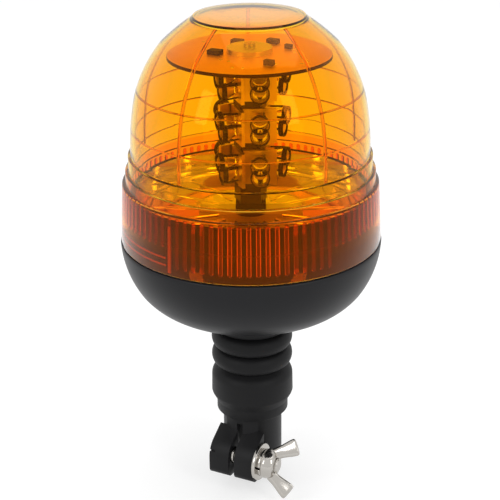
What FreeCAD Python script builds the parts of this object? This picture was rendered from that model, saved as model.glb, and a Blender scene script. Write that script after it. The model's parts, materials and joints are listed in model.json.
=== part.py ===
import FreeCAD, Part

import math
import os
import re

import Sketcher

# LED warning beacon on a flexible pole mount.
# Millimetres, +Z up. The origin is the centre of the pole socket's mouth; the pole enters from below.
# The clamp's lugs point along -Y and its bolt lies along X, with the wing nut on the +X side.

DIMENSIONS = [
    # pole socket
    ("pole_radius", 12.0),
    ("pole_play", 0.2),
    ("socket_wall", 2.9),
    ("bore_depth", 42.0),
    ("pole_seat", 35.5),
    ("relief_play", 0.4),
    ("shoulder_step", 1.8),
    ("socket_height", 51.0),
    ("anchor_reach", 1.9),
    ("anchor_height", 3.0),
    # clamp lugs
    ("slot_width", 3.2),
    ("slot_height", 27.0),
    ("lug_thickness", 10.9),
    ("lug_reach", 25.5),
    ("lug_height", 23.5),
    ("lug_foot_round", 4.0),
    ("lug_brow_round", 10.0),
    ("lug_brow_turn", 62.0),
    # clamp screw: M8 bolt, washers and wing nut
    ("bolt_radius", 4.0),
    ("bolt_play", 0.4),
    ("bolt_offset", 18.0),
    ("bolt_level", 10.0),
    ("bolt_tail", 1.2),
    ("head_flats", 13.0),
    ("head_height", 5.3),
    ("head_recess", 3.0),
    ("washer_radius", 9.6),
    ("washer_thickness", 1.8),
    ("lock_radius", 7.2),
    ("lock_thickness", 2.0),
    ("lock_split", 1.2),
    ("thread_play", 0.05),
    ("hub_radius", 7.6),
    ("hub_nose_radius", 6.0),
    ("hub_length", 6.0),
    ("wing_span", 37.0),
    ("wing_height", 17.0),
    ("wing_width", 12.5),
    ("wing_thickness", 3.0),
    ("wing_turn", 26.0),
    # socket contacts
    ("ring_thickness", 0.6),
    ("ring_width", 3.0),
    ("carrier_plate", 2.0),
    ("chamber_floor", 46.0),
    ("chamber_radius", 5.0),
    ("carrier_top", 53.0),
    ("pin_radius", 3.0),
    ("pin_play", 0.05),
    ("pin_reach", 6.0),
    ("pin_flange_radius", 4.5),
    ("pin_flange_height", 1.5),
    ("pin_stem_radius", 1.4),
    ("pin_stem_length", 2.0),
    ("spring_wire", 0.6),
    ("spring_turns", 3.0),
    ("terminal_thickness", 1.2),
    ("terminal_radius", 6.0),
    ("lead_radius", 1.1),
    ("lead_spacing", 3.6),
    # rubber neck
    ("collar_radius", 18.3),
    ("collar_foot", 31.0),
    ("collar_height", 5.5),
    ("barrel_radius", 20.9),
    ("barrel_foot", 41.0),
    ("barrel_top", 55.0),
    ("barrel_round", 2.0),
    ("rubber_gap", 0.3),
    ("rib_radius", 20.6),
    ("rib_height", 6.2),
    ("rib_pitch", 10.0),
    ("rib_start", 7.0),
    ("throat_collar", 1.5),
    ("groove_radius", 15.0),
    ("neck_bore", 9.5),
    ("throat_radius", 16.4),
    ("throat_play", 0.1),
    ("flange_radius", 21.5),
    ("flange_height", 3.0),
    ("retainer_thickness", 2.5),
    ("retainer_radius", 26.0),
    ("retainer_screw_circle", 23.8),
    # bowl
    ("seam_level", 127.0),
    ("seam_radius", 64.2),
    ("bowl_wall", 2.6),
    ("shoulder_draw", 7.6),
    ("shoulder_drop", 24.0),
    ("side_bow", 46.0),
    ("heel_draw", 22.7),
    ("heel_drop", 35.4),
    ("heel_bow", 32.5),
    ("foot_radius", 22.0),
    ("foot_drop", 38.7),
    ("foot_bow", 58.0),
    ("shoulder_slope", 33.0),
    ("heel_slope", 66.0),
    ("foot_slope", 84.0),
    ("rim_depth", 5.0),
    ("post_radius", 4.0),
    ("post_circle", 44.0),
    # driver board and its parts
    ("driver_level", 112.0),
    ("driver_radius", 49.0),
    ("board_thickness", 1.6),
    ("coil_radius", 9.0),
    ("coil_height", 8.5),
    ("coil_hole_radius", 3.5),
    ("capacitor_radius", 5.0),
    ("capacitor_height", 13.0),
    ("terminal_block_height", 10.0),
    ("chip_height", 2.0),
    # inner deck
    ("deck_level", 10.0),
    ("deck_thickness", 2.5),
    ("deck_wall", 2.2),
    ("deck_step", 3.2),
    ("deck_skirt_height", 13.5),
    ("rim_step", 2.2),
    ("deck_rim_height", 26.0),
    ("deck_hole_radius", 8.0),
    # dome
    ("dome_wall", 2.2),
    ("seam_step", 0.3),
    ("skirt_draft", 1.5),
    ("skirt_height", 30.1),
    ("ledge_round", 1.2),
    ("middle_ledge", 1.8),
    ("middle_height", 35.6),
    ("upper_ledge", 1.6),
    ("upper_height", 43.3),
    ("drum_ledge", 1.3),
    ("drum_height", 46.5),
    ("side_draw", 2.8),
    ("side_height", 72.0),
    ("side_curve", 125.0),
    ("crown_draw", 15.5),
    ("crown_height", 96.5),
    ("crown_curve", 65.0),
    ("disc_draw", 14.7),
    ("disc_foot", 108.5),
    ("disc_curve", 110.0),
    ("disc_step", 1.2),
    ("dome_height", 110.7),
    ("disc_border", 8.5),
    ("disc_bow", 60.0),
    ("fin_width", 1.8),
    ("fin_depth", 0.8),
    ("fin_heading", -98.5),
    ("skirt_play", 0.4),
    ("seal_thickness", 0.6),
    # LED tower
    ("face_count", 5),
    ("face_heading", -63.5),
    ("core_apothem", 6.7),
    ("board_width", 16.0),
    ("board_shift", 4.6),
    ("led_board_height", 16.8),
    ("tier_pitch", 20.5),
    ("tier_top", 81.9),
    ("lens_pitch", 6.1),
    ("lens_radius", 4.15),
    ("lens_root_radius", 1.9),
    ("lens_step", 0.8),
    ("holder_wall", 0.45),
    ("holder_length", 9.6),
    ("holder_lag", 1.6),
    ("holder_gap", 0.05),
    ("led_size", 2.8),
    ("led_height", 0.7),
    ("bracket_length", 50.0),
    ("bracket_width", 9.0),
    ("bracket_thickness", 2.0),
    ("plug_width", 14.6),
    ("plug_height", 4.0),
    ("top_board_level", 91.4),
    ("top_board_step", 3.5),
    ("hub_cap_radius", 10.8),
    ("hub_cap_height", 2.4),
    ("screw_radius", 1.5),
    ("screw_head_radius", 2.8),
    ("screw_head_height", 1.8),
    ("screw_grip", 6.0),
    # sizes that follow from those above
    ("bore_radius", "=pole_radius + pole_play"),
    ("relief_radius", "=bore_radius + relief_play"),
    ("socket_radius", "=bore_radius + socket_wall"),
    ("anchor_radius", "=socket_radius + anchor_reach"),
    ("carrier_radius", "=bore_radius - shoulder_step"),
    ("lug_face", "=slot_width / 2 + lug_thickness"),
    ("rib_one", "=barrel_top + rib_start"),
    ("shoulder_radius", "=seam_radius - shoulder_draw"),
    ("heel_radius", "=seam_radius - heel_draw"),
    ("deck_skirt_radius", "=seam_radius - deck_step"),
    ("deck_rim_radius", "=deck_skirt_radius - rim_step"),
    ("skirt_radius", "=seam_radius - seam_step"),
    ("skirt_top_radius", "=skirt_radius - skirt_draft"),
    ("middle_radius", "=skirt_top_radius - middle_ledge"),
    ("upper_radius", "=middle_radius - upper_ledge"),
    ("drum_radius", "=upper_radius - drum_ledge"),
    ("side_radius", "=drum_radius - side_draw"),
    ("crown_radius", "=drum_radius - crown_draw"),
    ("disc_radius", "=crown_radius - disc_draw"),
    ("disc_flat_radius", "=disc_radius - disc_border"),
    ("top_board_radius", "=crown_radius - top_board_step"),
    ("neck_seat", "=seam_level - foot_drop"),
    ("floor_level", "=neck_seat + bowl_wall"),
    ("flange_top", "=floor_level + flange_height"),
    ("driver_top", "=driver_level + board_thickness"),
    ("deck_floor", "=seam_level + deck_level"),
    ("deck_top", "=deck_floor + deck_thickness"),
    ("core_foot", "=deck_top + bracket_thickness"),
    ("top_board_foot", "=seam_level + top_board_level - board_thickness"),
    ("board_face", "=core_apothem + board_thickness"),
    ("core_radius", "=core_apothem / cos(180 / face_count)"),
]

doc = FreeCAD.newDocument("warning_beacon")
sheet = doc.addObject("Spreadsheet::Sheet", "dims")
for row, (alias, content) in enumerate(DIMENSIONS, start=1):
    sheet.set(f"A{row}", alias)
    sheet.set(f"B{row}", str(content))
    sheet.setAlias(f"B{row}", alias)
doc.recompute()

NODES = {}
UP = FreeCAD.Vector(0, 0, 1)
ALONG_X = FreeCAD.Rotation(FreeCAD.Vector(0, 1, 0), 90)
UNTURNED = FreeCAD.Rotation()


def bound(text):
    """The text with each alias written the way an expression reads it from the sheet."""
    return re.sub(r"\b([a-z_]+)\b(?!\()", r"dims.\1", str(text))


def number(text):
    """The present value of an expression of the sheet's aliases."""
    found = sheet.evalExpression(bound(text))
    return float(getattr(found, "Value", found))


def node(name, item):
    """Register an object as the node that is written to its own file."""
    item.Label = name
    NODES[name] = item
    return item


def arc_centre(start, end, radius, side):
    """Centre of the arc of this radius from start to end that bows to the given side (+1 right, -1 left)."""
    chord = end - start
    middle = (start + end) * 0.5
    across = FreeCAD.Vector(chord.y, -chord.x, 0).normalize()
    rise = math.sqrt(max(radius**2 - (chord.Length / 2) ** 2, 0.0))
    return middle - across * (rise * side)


def draw(body, name, corners, role="XZ_Plane"):
    """Closed sketch whose corners are pairs of expressions; a third and fourth entry (bow radius
    expression, side) make the edge that arrives at the corner an arc."""
    plane = next(item for item in body.Origin.OriginFeatures if item.Role == role)
    sketch = body.newObject("Sketcher::SketchObject", name)
    sketch.AttachmentSupport = [(plane, "")]
    sketch.MapMode = "FlatFace"
    places = [FreeCAD.Vector(number(corner[0]), number(corner[1]), 0) for corner in corners]
    count = len(corners)
    ends = []
    for index in range(count):
        start = places[index]
        target = (index + 1) % count
        end = places[target]
        if len(corners[target]) == 4:
            bow, side = corners[target][2], corners[target][3]
            radius = number(bow)
            centre = arc_centre(start, end, radius, side)
            first = math.atan2(start.y - centre.y, start.x - centre.x)
            last = math.atan2(end.y - centre.y, end.x - centre.x)
            circle = Part.Circle(centre, UP, radius)
            if side > 0:
                sketch.addGeometry(Part.ArcOfCircle(circle, first, last))
                ends.append((1, 2))
            else:
                sketch.addGeometry(Part.ArcOfCircle(circle, last, first))
                ends.append((2, 1))
        else:
            sketch.addGeometry(Part.LineSegment(start, end))
            ends.append((1, 2))
    for index in range(count):
        following = (index + 1) % count
        sketch.addConstraint(
            Sketcher.Constraint("Coincident", index, ends[index][1], following, ends[following][0])
        )
    for index, corner in enumerate(corners):
        for kind, axis, letter, text in (
            ("DistanceX", -2, "x", corner[0]),
            ("DistanceY", -1, "y", corner[1]),
        ):
            if text == "0":
                sketch.addConstraint(Sketcher.Constraint("PointOnObject", index, ends[index][0], axis))
                continue
            place = sketch.addConstraint(
                Sketcher.Constraint(kind, -1, 1, index, ends[index][0], number(text))
            )
            sketch.renameConstraint(place, f"{letter}{index}")
            sketch.setExpression(f"Constraints.{letter}{index}", bound(text))
        if len(corner) == 4:
            edge = (index - 1) % count
            place = sketch.addConstraint(Sketcher.Constraint("Radius", edge, number(corner[2])))
            sketch.renameConstraint(place, f"bow{index}")
            sketch.setExpression(f"Constraints.bow{index}", bound(corner[2]))
    return sketch


def turned(name, corners, kind="PartDesign::Revolution", body=None, angle=360):
    """Body turned about Z from a profile of radius and height."""
    body = body or doc.addObject("PartDesign::Body", name)
    sketch = draw(body, f"{name}_profile", corners)
    feature = body.newObject(kind, f"{name}_turn")
    feature.Profile = sketch
    feature.ReferenceAxis = (sketch, ["V_Axis"])
    feature.Angle = angle
    sketch.Visibility = False
    doc.recompute()
    return body


def solid(kind, name, at=("0", "0", "0"), turn=UNTURNED, **sizes):
    """Part primitive with its sizes and place bound to expressions."""
    item = doc.addObject(kind, name)
    item.Placement = FreeCAD.Placement(FreeCAD.Vector(), turn)
    for prop, text in sizes.items():
        item.setExpression(prop, bound(text))
    for axis, text in zip("xyz", at):
        if text != "0":
            item.setExpression(f"Placement.Base.{axis}", bound(text))
    return item


def rod(name, radius, height, at=("0", "0", "0"), turn=UNTURNED):
    return solid("Part::Cylinder", name, at, turn, Radius=radius, Height=height)


def block(name, length, width, height, at=("0", "0", "0"), turn=UNTURNED):
    return solid("Part::Box", name, at, turn, Length=length, Width=width, Height=height)


def cone(name, low, high, height, at=("0", "0", "0"), turn=UNTURNED):
    return solid("Part::Cone", name, at, turn, Radius1=low, Radius2=high, Height=height)


def fused(name, *items):
    result = doc.addObject("Part::MultiFuse", name)
    result.Shapes = list(items)
    result.Refine = True
    return result


def less(name, base, *tools):
    """The base with every tool taken out of it."""
    result = doc.addObject("Part::Cut", name)
    result.Base = base
    result.Tool = tools[0] if len(tools) == 1 else fused(f"{name}_tools", *tools)
    return result


def group(name, items):
    result = doc.addObject("Part::Compound", name)
    result.Links = list(items)
    return result


def copies(name, item, places):
    """One group of linked copies of an item, each at its own placement."""
    links = []
    for index, place in enumerate(places, start=1):
        link = doc.addObject("App::Link", f"{name}_{index}")
        link.LinkedObject = item
        link.LinkTransform = True
        link.Placement = place
        links.append(link)
    return group(name, links)


def round_places(count, first=0.0, lift=0.0):
    """Placements turned evenly about Z, at a height."""
    return [
        FreeCAD.Placement(FreeCAD.Vector(0, 0, lift), FreeCAD.Rotation(UP, first + 360.0 * step / count))
        for step in range(count)
    ]


def make_clamp_socket():
    """Split tube with a stepped bore, an anchor flange for the rubber and two clamp lugs."""
    tube = turned("socket_tube", [
        ("bore_radius", "0"),
        ("socket_radius", "0"),
        ("socket_radius", "socket_height - anchor_height"),
        ("anchor_radius", "socket_height - anchor_height"),
        ("anchor_radius", "socket_height"),
        ("carrier_radius", "socket_height"),
        ("carrier_radius", "bore_depth + carrier_plate"),
        ("relief_radius", "bore_depth + carrier_plate"),
        ("relief_radius", "pole_seat"),
        ("bore_radius", "pole_seat"),
    ])
    lug_body = doc.addObject("PartDesign::Body", "lug_body")
    side = draw(lug_body, "lug_side", [
        ("bore_radius", "0"),
        ("lug_reach - lug_foot_round", "0"),
        ("lug_reach", "lug_foot_round", "lug_foot_round", 1),
        ("lug_reach", "bolt_level"),
        ("lug_reach - lug_brow_round * (1 - cos(lug_brow_turn))", "bolt_level + lug_brow_round * sin(lug_brow_turn)",
         "lug_brow_round", 1),
        ("bore_radius", "lug_height"),
    ], "XZ_Plane")
    pad = lug_body.newObject("PartDesign::Pad", "lug_pad")
    pad.Profile = side
    pad.setExpression("Length", bound("2 * lug_face"))
    pad.SideType = "Symmetric"
    doc.recompute()
    lug_body.Placement = FreeCAD.Placement(FreeCAD.Vector(), FreeCAD.Rotation(UP, -90))
    bore = rod("lug_bore", "bore_radius", "pole_seat")
    slot = block("slot", "slot_width", "lug_reach + slot_width", "slot_height + slot_width",
                 ("-slot_width / 2", "-lug_reach - slot_width", "-slot_width"))
    hole = rod("bolt_hole", "bolt_radius + bolt_play", "2 * lug_face + slot_width",
               ("-lug_face - slot_width / 2", "-bolt_offset", "bolt_level"), ALONG_X)
    recess = solid("Part::Prism", "head_recess_cut",
                   ("-lug_face - slot_width", "-bolt_offset", "bolt_level"), ALONG_X,
                   Circumradius="(head_flats / 2 + bolt_play) / cos(30)",
                   Height="head_recess + slot_width")
    recess.Polygon = 6
    shell = fused("socket_shell", tube, lug_body)
    node("clamp_socket", less("clamp_socket", shell, bore, slot, hole, recess))


def make_clamp_screw():
    """M8 hexagon bolt in the lugs, its washers and the wing nut."""
    seat = "-lug_face + head_recess"
    grip = "2 * lug_face - head_recess + washer_thickness + lock_thickness + hub_length + bolt_tail"
    head = solid("Part::Prism", "bolt_head", (f"{seat} - head_height", "-bolt_offset", "bolt_level"), ALONG_X,
                 Circumradius="head_flats / 2 / cos(30)", Height="head_height")
    head.Polygon = 6
    shank = rod("bolt_shank", "bolt_radius", grip, (seat, "-bolt_offset", "bolt_level"), ALONG_X)
    point = cone("bolt_point", "bolt_radius", "bolt_radius * 0.8", "bolt_radius * 0.25",
                 (f"{seat} + {grip}", "-bolt_offset", "bolt_level"), ALONG_X)
    node("clamp_bolt", fused("clamp_bolt", head, shank, point))

    start = "lug_face"
    disc = rod("washer_disc", "washer_radius", "washer_thickness", (start, "-bolt_offset", "bolt_level"), ALONG_X)
    eye = rod("washer_eye", "bolt_radius + bolt_play", "3 * washer_thickness",
              (f"{start} - washer_thickness", "-bolt_offset", "bolt_level"), ALONG_X)
    node("flat_washer", less("flat_washer", disc, eye))

    start = "lug_face + washer_thickness"
    ring = rod("lock_ring", "lock_radius", "lock_thickness", (start, "-bolt_offset", "bolt_level"), ALONG_X)
    eye = rod("lock_eye", "bolt_radius + thread_play", "3 * lock_thickness",
              (f"{start} - lock_thickness", "-bolt_offset", "bolt_level"), ALONG_X)
    gap = block("lock_gap", "3 * lock_thickness", "lock_radius + lock_split", "lock_split",
                (f"{start} - lock_thickness", "-bolt_offset - lock_radius - lock_split",
                 "bolt_level - lock_split / 2"))
    node("lock_washer", less("lock_washer", ring, eye, gap))


def make_wing_nut():
    """Wing nut: tapered hub and two wings that flare forward, turned a little from upright."""
    body = doc.addObject("PartDesign::Body", "wing_body")
    tip = "wing_width / 2"
    along = "(wing_height - wing_width / 2)"
    outward = "(wing_span / 2 - wing_width / 2)"
    wing = draw(body, "wing_outline", [
        ("hub_length * 0.1", "bolt_radius"),
        ("hub_length * 0.95", "bolt_radius"),
        (f"{along} + {tip} * 0.8", f"{outward} - {tip} * 0.6", "wing_span", -1),
        (f"{along} - {tip} * 0.6", f"{outward} + {tip} * 0.8", tip, 1),
        ("hub_length * 0.1", "hub_radius * 0.9", "wing_span * 0.6", -1),
    ])
    pad = body.newObject("PartDesign::Pad", "wing_pad")
    pad.Profile = wing
    pad.setExpression("Length", bound("wing_thickness"))
    pad.SideType = "Symmetric"
    doc.recompute()
    lower = doc.addObject("Part::Mirroring", "wing_lower")
    lower.Source = body
    lower.Base = FreeCAD.Vector(0, 0, 0)
    lower.Normal = FreeCAD.Vector(0, 0, 1)
    hub = cone("nut_hub", "hub_radius", "hub_nose_radius", "hub_length", turn=ALONG_X)
    whole = fused("nut_whole", body, lower, hub)
    eye = rod("nut_eye", "bolt_radius + thread_play", "3 * hub_length", ("-hub_length", "0", "0"), ALONG_X)
    nut = less("wing_nut", whole, eye)
    nut.setExpression("Placement.Base.x", bound("lug_face + washer_thickness + lock_thickness"))
    nut.setExpression("Placement.Base.y", bound("-bolt_offset"))
    nut.setExpression("Placement.Base.z", bound("bolt_level"))
    nut.setExpression("Placement.Rotation.Angle", bound("-wing_turn"))
    nut.setExpression("Placement.Rotation.Axis.x", "1")
    nut.setExpression("Placement.Rotation.Axis.z", "0")
    node("wing_nut", nut)


def make_contacts():
    """Insulating carrier at the top of the bore, with a sprung live pin and an earth ring."""
    carrier = turned("carrier_blank", [
        ("pin_radius + pin_play", "bore_depth"),
        ("bore_radius", "bore_depth"),
        ("bore_radius", "bore_depth + carrier_plate"),
        ("carrier_radius - pin_play", "bore_depth + carrier_plate"),
        ("carrier_radius - pin_play", "carrier_top"),
        ("chamber_radius", "carrier_top"),
        ("chamber_radius", "chamber_floor"),
        ("pin_radius + pin_play", "chamber_floor"),
    ])
    lead_hole = rod("lead_hole", "lead_radius + pin_play", "carrier_top", ("0", "(chamber_radius + carrier_radius) / 2", "1"))
    node("contact_carrier", less("contact_carrier", carrier, lead_hole))

    ring = turned("earth_plate", [
        ("bore_radius - ring_width", "bore_depth - ring_thickness"),
        ("bore_radius - pole_play", "bore_depth - ring_thickness"),
        ("bore_radius - pole_play", "bore_depth"),
        ("bore_radius - ring_width - chamber_radius / 2", "bore_depth"),
    ])
    rivet = rod("earth_rivet", "lead_radius", "carrier_top - bore_depth",
                ("0", "(chamber_radius + carrier_radius) / 2", "bore_depth"))
    node("earth_ring", fused("earth_ring", ring, rivet))

    foot = "bore_depth - pin_reach"
    node("contact_pin", turned("contact_pin", [
        ("0", foot),
        ("pin_radius * 0.5", foot),
        ("pin_radius", f"{foot} + pin_radius * 0.5", "pin_radius * 0.5", 1),
        ("pin_radius", "chamber_floor"),
        ("pin_flange_radius", "chamber_floor"),
        ("pin_flange_radius", "chamber_floor + pin_flange_height"),
        ("pin_stem_radius", "chamber_floor + pin_flange_height"),
        ("pin_stem_radius", "chamber_floor + pin_flange_height + pin_stem_length"),
        ("0", "chamber_floor + pin_flange_height + pin_stem_length"),
    ]))

    terminal = rod("terminal_disc", "terminal_radius", "terminal_thickness", ("0", "0", "carrier_top"))
    notch = rod("terminal_notch", "lead_radius * 2", "3 * terminal_thickness",
                ("0", "(chamber_radius + carrier_radius) / 2", "carrier_top - terminal_thickness"))
    node("live_terminal", less("live_terminal", terminal, notch))

    low = number("chamber_floor + pin_flange_height")
    high = number("carrier_top")
    wire = number("spring_wire")
    radius = number("(pin_stem_radius + pin_flange_radius) / 2")
    rise = (high - low - 2 * wire) / number("spring_turns")
    helix = Part.makeHelix(rise, high - low - 2 * wire, radius)
    helix.translate(FreeCAD.Vector(0, 0, low + wire))
    section = Part.Wire([Part.makeCircle(wire / 2, FreeCAD.Vector(radius, 0, low + wire), FreeCAD.Vector(0, 1, 0))])
    coil = Part.Wire(helix.Edges).makePipeShell([section], True, True)
    spring = doc.addObject("Part::Feature", "contact_spring")
    spring.Shape = coil
    node("contact_spring", spring)


def make_neck():
    """Rubber neck: lower collar and barrel round the socket, three ribs, throat and top flange."""
    ribs = []
    for index in range(3):
        level = f"(rib_one + {index} * rib_pitch)"
        ribs += [
            ("groove_radius", f"{level} - rib_height / 2 - rib_height / 4"),
            ("rib_radius - rib_height / 4", f"{level} - rib_height / 2"),
            ("rib_radius - rib_height / 4", f"{level} + rib_height / 2", "rib_height * 0.625", 1),
            ("groove_radius", f"{level} + rib_height / 2 + rib_height / 4"),
        ]
    neck = turned("flexible_neck", [
        ("socket_radius + rubber_gap", "collar_foot"),
        ("collar_radius", "collar_foot"),
        ("collar_radius", "collar_foot + collar_height"),
        ("barrel_radius", "barrel_foot"),
        ("barrel_radius - rubber_gap", "barrel_top - barrel_round"),
        ("barrel_radius - rubber_gap - barrel_round", "barrel_top", "barrel_round", 1),
        ("groove_radius", "barrel_top"),
        *ribs,
        ("groove_radius", "neck_seat - throat_collar"),
        ("throat_radius + flange_height", "neck_seat - throat_collar"),
        ("throat_radius + flange_height", "neck_seat"),
        ("throat_radius", "neck_seat"),
        ("throat_radius", "floor_level"),
        ("flange_radius", "floor_level"),
        ("flange_radius", "flange_top"),
        ("neck_bore", "flange_top"),
        ("neck_bore", "socket_height + anchor_height"),
        ("anchor_radius + rubber_gap", "socket_height + anchor_height"),
        ("anchor_radius + rubber_gap", "socket_height - anchor_height - rubber_gap"),
        ("socket_radius + rubber_gap", "socket_height - anchor_height - rubber_gap"),
    ])
    node("flexible_neck", neck)

    start = "(carrier_top + terminal_thickness)"
    live = rod("live_lead", "lead_radius", f"driver_level - terminal_block_height - {start}",
               ("-lead_spacing", "0", start))
    earth = rod("earth_lead", "lead_radius", "driver_level - terminal_block_height - carrier_top",
                ("0", "(chamber_radius + carrier_radius) / 2", "carrier_top"))
    node("supply_wires", group("supply_wires", [live, earth]))


def make_bowl():
    """Black bowl with a floor hole for the neck and posts for the boards."""
    outside = [
        ("foot_radius", "neck_seat"),
        ("heel_radius", "seam_level - heel_drop", "foot_bow", 1),
        ("shoulder_radius", "seam_level - shoulder_drop", "heel_bow", 1),
        ("seam_radius", "seam_level", "side_bow", 1),
    ]

    def inner(radius, drop, slope):
        return (f"{radius} - bowl_wall * cos({slope})", f"seam_level - {drop} + bowl_wall * sin({slope})")

    bowl = turned("bowl_shell", [
        ("throat_radius + throat_play", "neck_seat"),
        *outside,
        ("deck_skirt_radius - deck_wall", "seam_level"),
        ("deck_skirt_radius - deck_wall", "seam_level - rim_depth"),
        inner("shoulder_radius", "shoulder_drop", "shoulder_slope") + ("side_bow - bowl_wall", -1),
        inner("heel_radius", "heel_drop", "heel_slope") + ("heel_bow - bowl_wall", -1),
        ("retainer_radius", "floor_level", "foot_bow - bowl_wall", -1),
        ("throat_radius + throat_play", "floor_level"),
    ])
    mass = turned("bowl_mass", [("0", "neck_seat"), *outside, ("0", "seam_level")])
    posts = []
    for index in range(3):
        angle = 60 + 120 * index
        post = rod(f"post_{index + 1}", "post_radius", "driver_level - neck_seat",
                   (f"post_circle * cos({angle})", f"post_circle * sin({angle})", "neck_seat"))
        trimmed = doc.addObject("Part::MultiCommon", f"post_{index + 1}_trimmed")
        trimmed.Shapes = [post, mass]
        posts.append(trimmed)
    node("base_bowl", fused("base_bowl", bowl, *posts))


def screw_places(circle, level, angles):
    """Placements on a circle at a level, unturned."""
    reach = number(circle)
    height = number(level)
    places = []
    for angle in angles:
        spin = math.radians(angle)
        spot = FreeCAD.Vector(reach * math.cos(spin), reach * math.sin(spin), height)
        places.append(FreeCAD.Placement(spot, UNTURNED))
    return places


def make_screws(name, circle, level, angles, grip):
    """Group of pan-head screws with their heads standing on a level."""
    shank = rod(f"{name}_shank", "screw_radius", grip, ("0", "0", f"-({grip})"))
    head = rod(f"{name}_head", "screw_head_radius", "screw_head_height")
    return copies(name, fused(f"{name}_one", shank, head), screw_places(circle, level, angles))


def make_bowl_fittings():
    """Plate and screws that hold the neck's flange on the bowl's floor."""
    plate = turned("retainer_plate", [
        ("neck_bore", "flange_top"),
        ("flange_radius + throat_play", "flange_top"),
        ("flange_radius + throat_play", "floor_level"),
        ("retainer_radius", "floor_level"),
        ("retainer_radius", "flange_top + retainer_thickness"),
        ("neck_bore", "flange_top + retainer_thickness"),
    ])
    angles = [45, 135, 225, 315]
    screws = make_screws("retainer_screws", "retainer_screw_circle", "flange_top + retainer_thickness",
                         angles, "retainer_thickness + flange_height")
    holes = copies("retainer_holes", doc.getObject("retainer_screws_shank"), screw_places(
        "retainer_screw_circle", "flange_top + retainer_thickness", angles))
    node("neck_retainer", less("neck_retainer", plate, holes))
    node("retainer_screws", screws)


def make_driver():
    """Round driver board on the bowl's posts, its large parts on top and the terminal block below."""
    board = rod("driver_disc", "driver_radius", "board_thickness", ("0", "0", "driver_level"))
    angles = [60, 180, 300]
    screws = make_screws("driver_screws", "post_circle", "driver_top", angles, "board_thickness")
    holes = copies("driver_holes", doc.getObject("driver_screws_shank"),
                   screw_places("post_circle", "driver_top", angles))
    node("driver_board", less("driver_board", board, holes))
    node("driver_screws", screws)

    coil = rod("coil_drum", "coil_radius", "coil_height", ("-driver_radius / 2", "0", "driver_top"))
    eye = rod("coil_eye", "coil_hole_radius", "3 * coil_height",
              ("-driver_radius / 2", "0", "driver_top - coil_height"))
    node("driver_coil", less("driver_coil", coil, eye))
    cans = []
    for index in range(3):
        along = f"({index - 1}) * (2 * capacitor_radius + bolt_play)"
        cans.append(rod(f"capacitor_{index + 1}", "capacitor_radius", "capacitor_height",
                        ("driver_radius / 2", along, "driver_top")))
    node("driver_capacitors", group("driver_capacitors", cans))
    chips = []
    for index, (across, along) in enumerate([("-0.1", "0.55"), ("0.25", "-0.6"), ("-0.45", "-0.5"), ("0.1", "0.2")]):
        chips.append(block(f"chip_{index + 1}", "4 * chip_height", "3 * chip_height", "chip_height",
                           (f"driver_radius * {across}", f"driver_radius * {along}", "driver_top")))
    node("driver_chips", group("driver_chips", chips))

    housing = block("terminal_housing", "4 * lead_spacing", "4 * lead_spacing + 2 * lead_radius",
                    "terminal_block_height",
                    ("-2 * lead_spacing", "-1.2 * lead_spacing", "driver_level - terminal_block_height"))
    node("input_terminal", housing)


def make_deck():
    """Black deck over the driver board: floor, rim wall and skirt on the bowl."""
    blank = turned("deck_blank", [
        ("deck_hole_radius", "deck_floor"),
        ("deck_skirt_radius - deck_wall", "deck_floor"),
        ("deck_skirt_radius - deck_wall", "seam_level"),
        ("deck_skirt_radius", "seam_level"),
        ("deck_skirt_radius", "seam_level + deck_skirt_height"),
        ("deck_rim_radius", "seam_level + deck_skirt_height"),
        ("deck_rim_radius", "seam_level + deck_rim_height"),
        ("deck_rim_radius - deck_wall", "seam_level + deck_rim_height"),
        ("deck_rim_radius - deck_wall", "deck_top"),
        ("deck_hole_radius", "deck_top"),
    ])
    posts = []
    angles = [0, 120, 240]
    for index, angle in enumerate(angles):
        posts.append(rod(f"deck_post_{index + 1}", "post_radius", "deck_floor - driver_top",
                         (f"post_circle * cos({angle})", f"post_circle * sin({angle})", "driver_top")))
    whole = fused("deck_whole", blank, *posts)
    screws = make_screws("deck_screws", "post_circle", "deck_top", angles, "screw_grip")
    holes = copies("deck_holes", doc.getObject("deck_screws_shank"),
                   screw_places("post_circle", "deck_top", angles))
    node("inner_deck", less("inner_deck", whole, holes))
    node("deck_screws", screws)
    node("lens_seal", turned("lens_seal", [
        ("deck_skirt_radius", "seam_level"),
        ("skirt_radius - seal_thickness", "seam_level"),
        ("skirt_radius - seal_thickness", "seam_level + seal_thickness"),
        ("deck_skirt_radius", "seam_level + seal_thickness"),
    ]))


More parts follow.
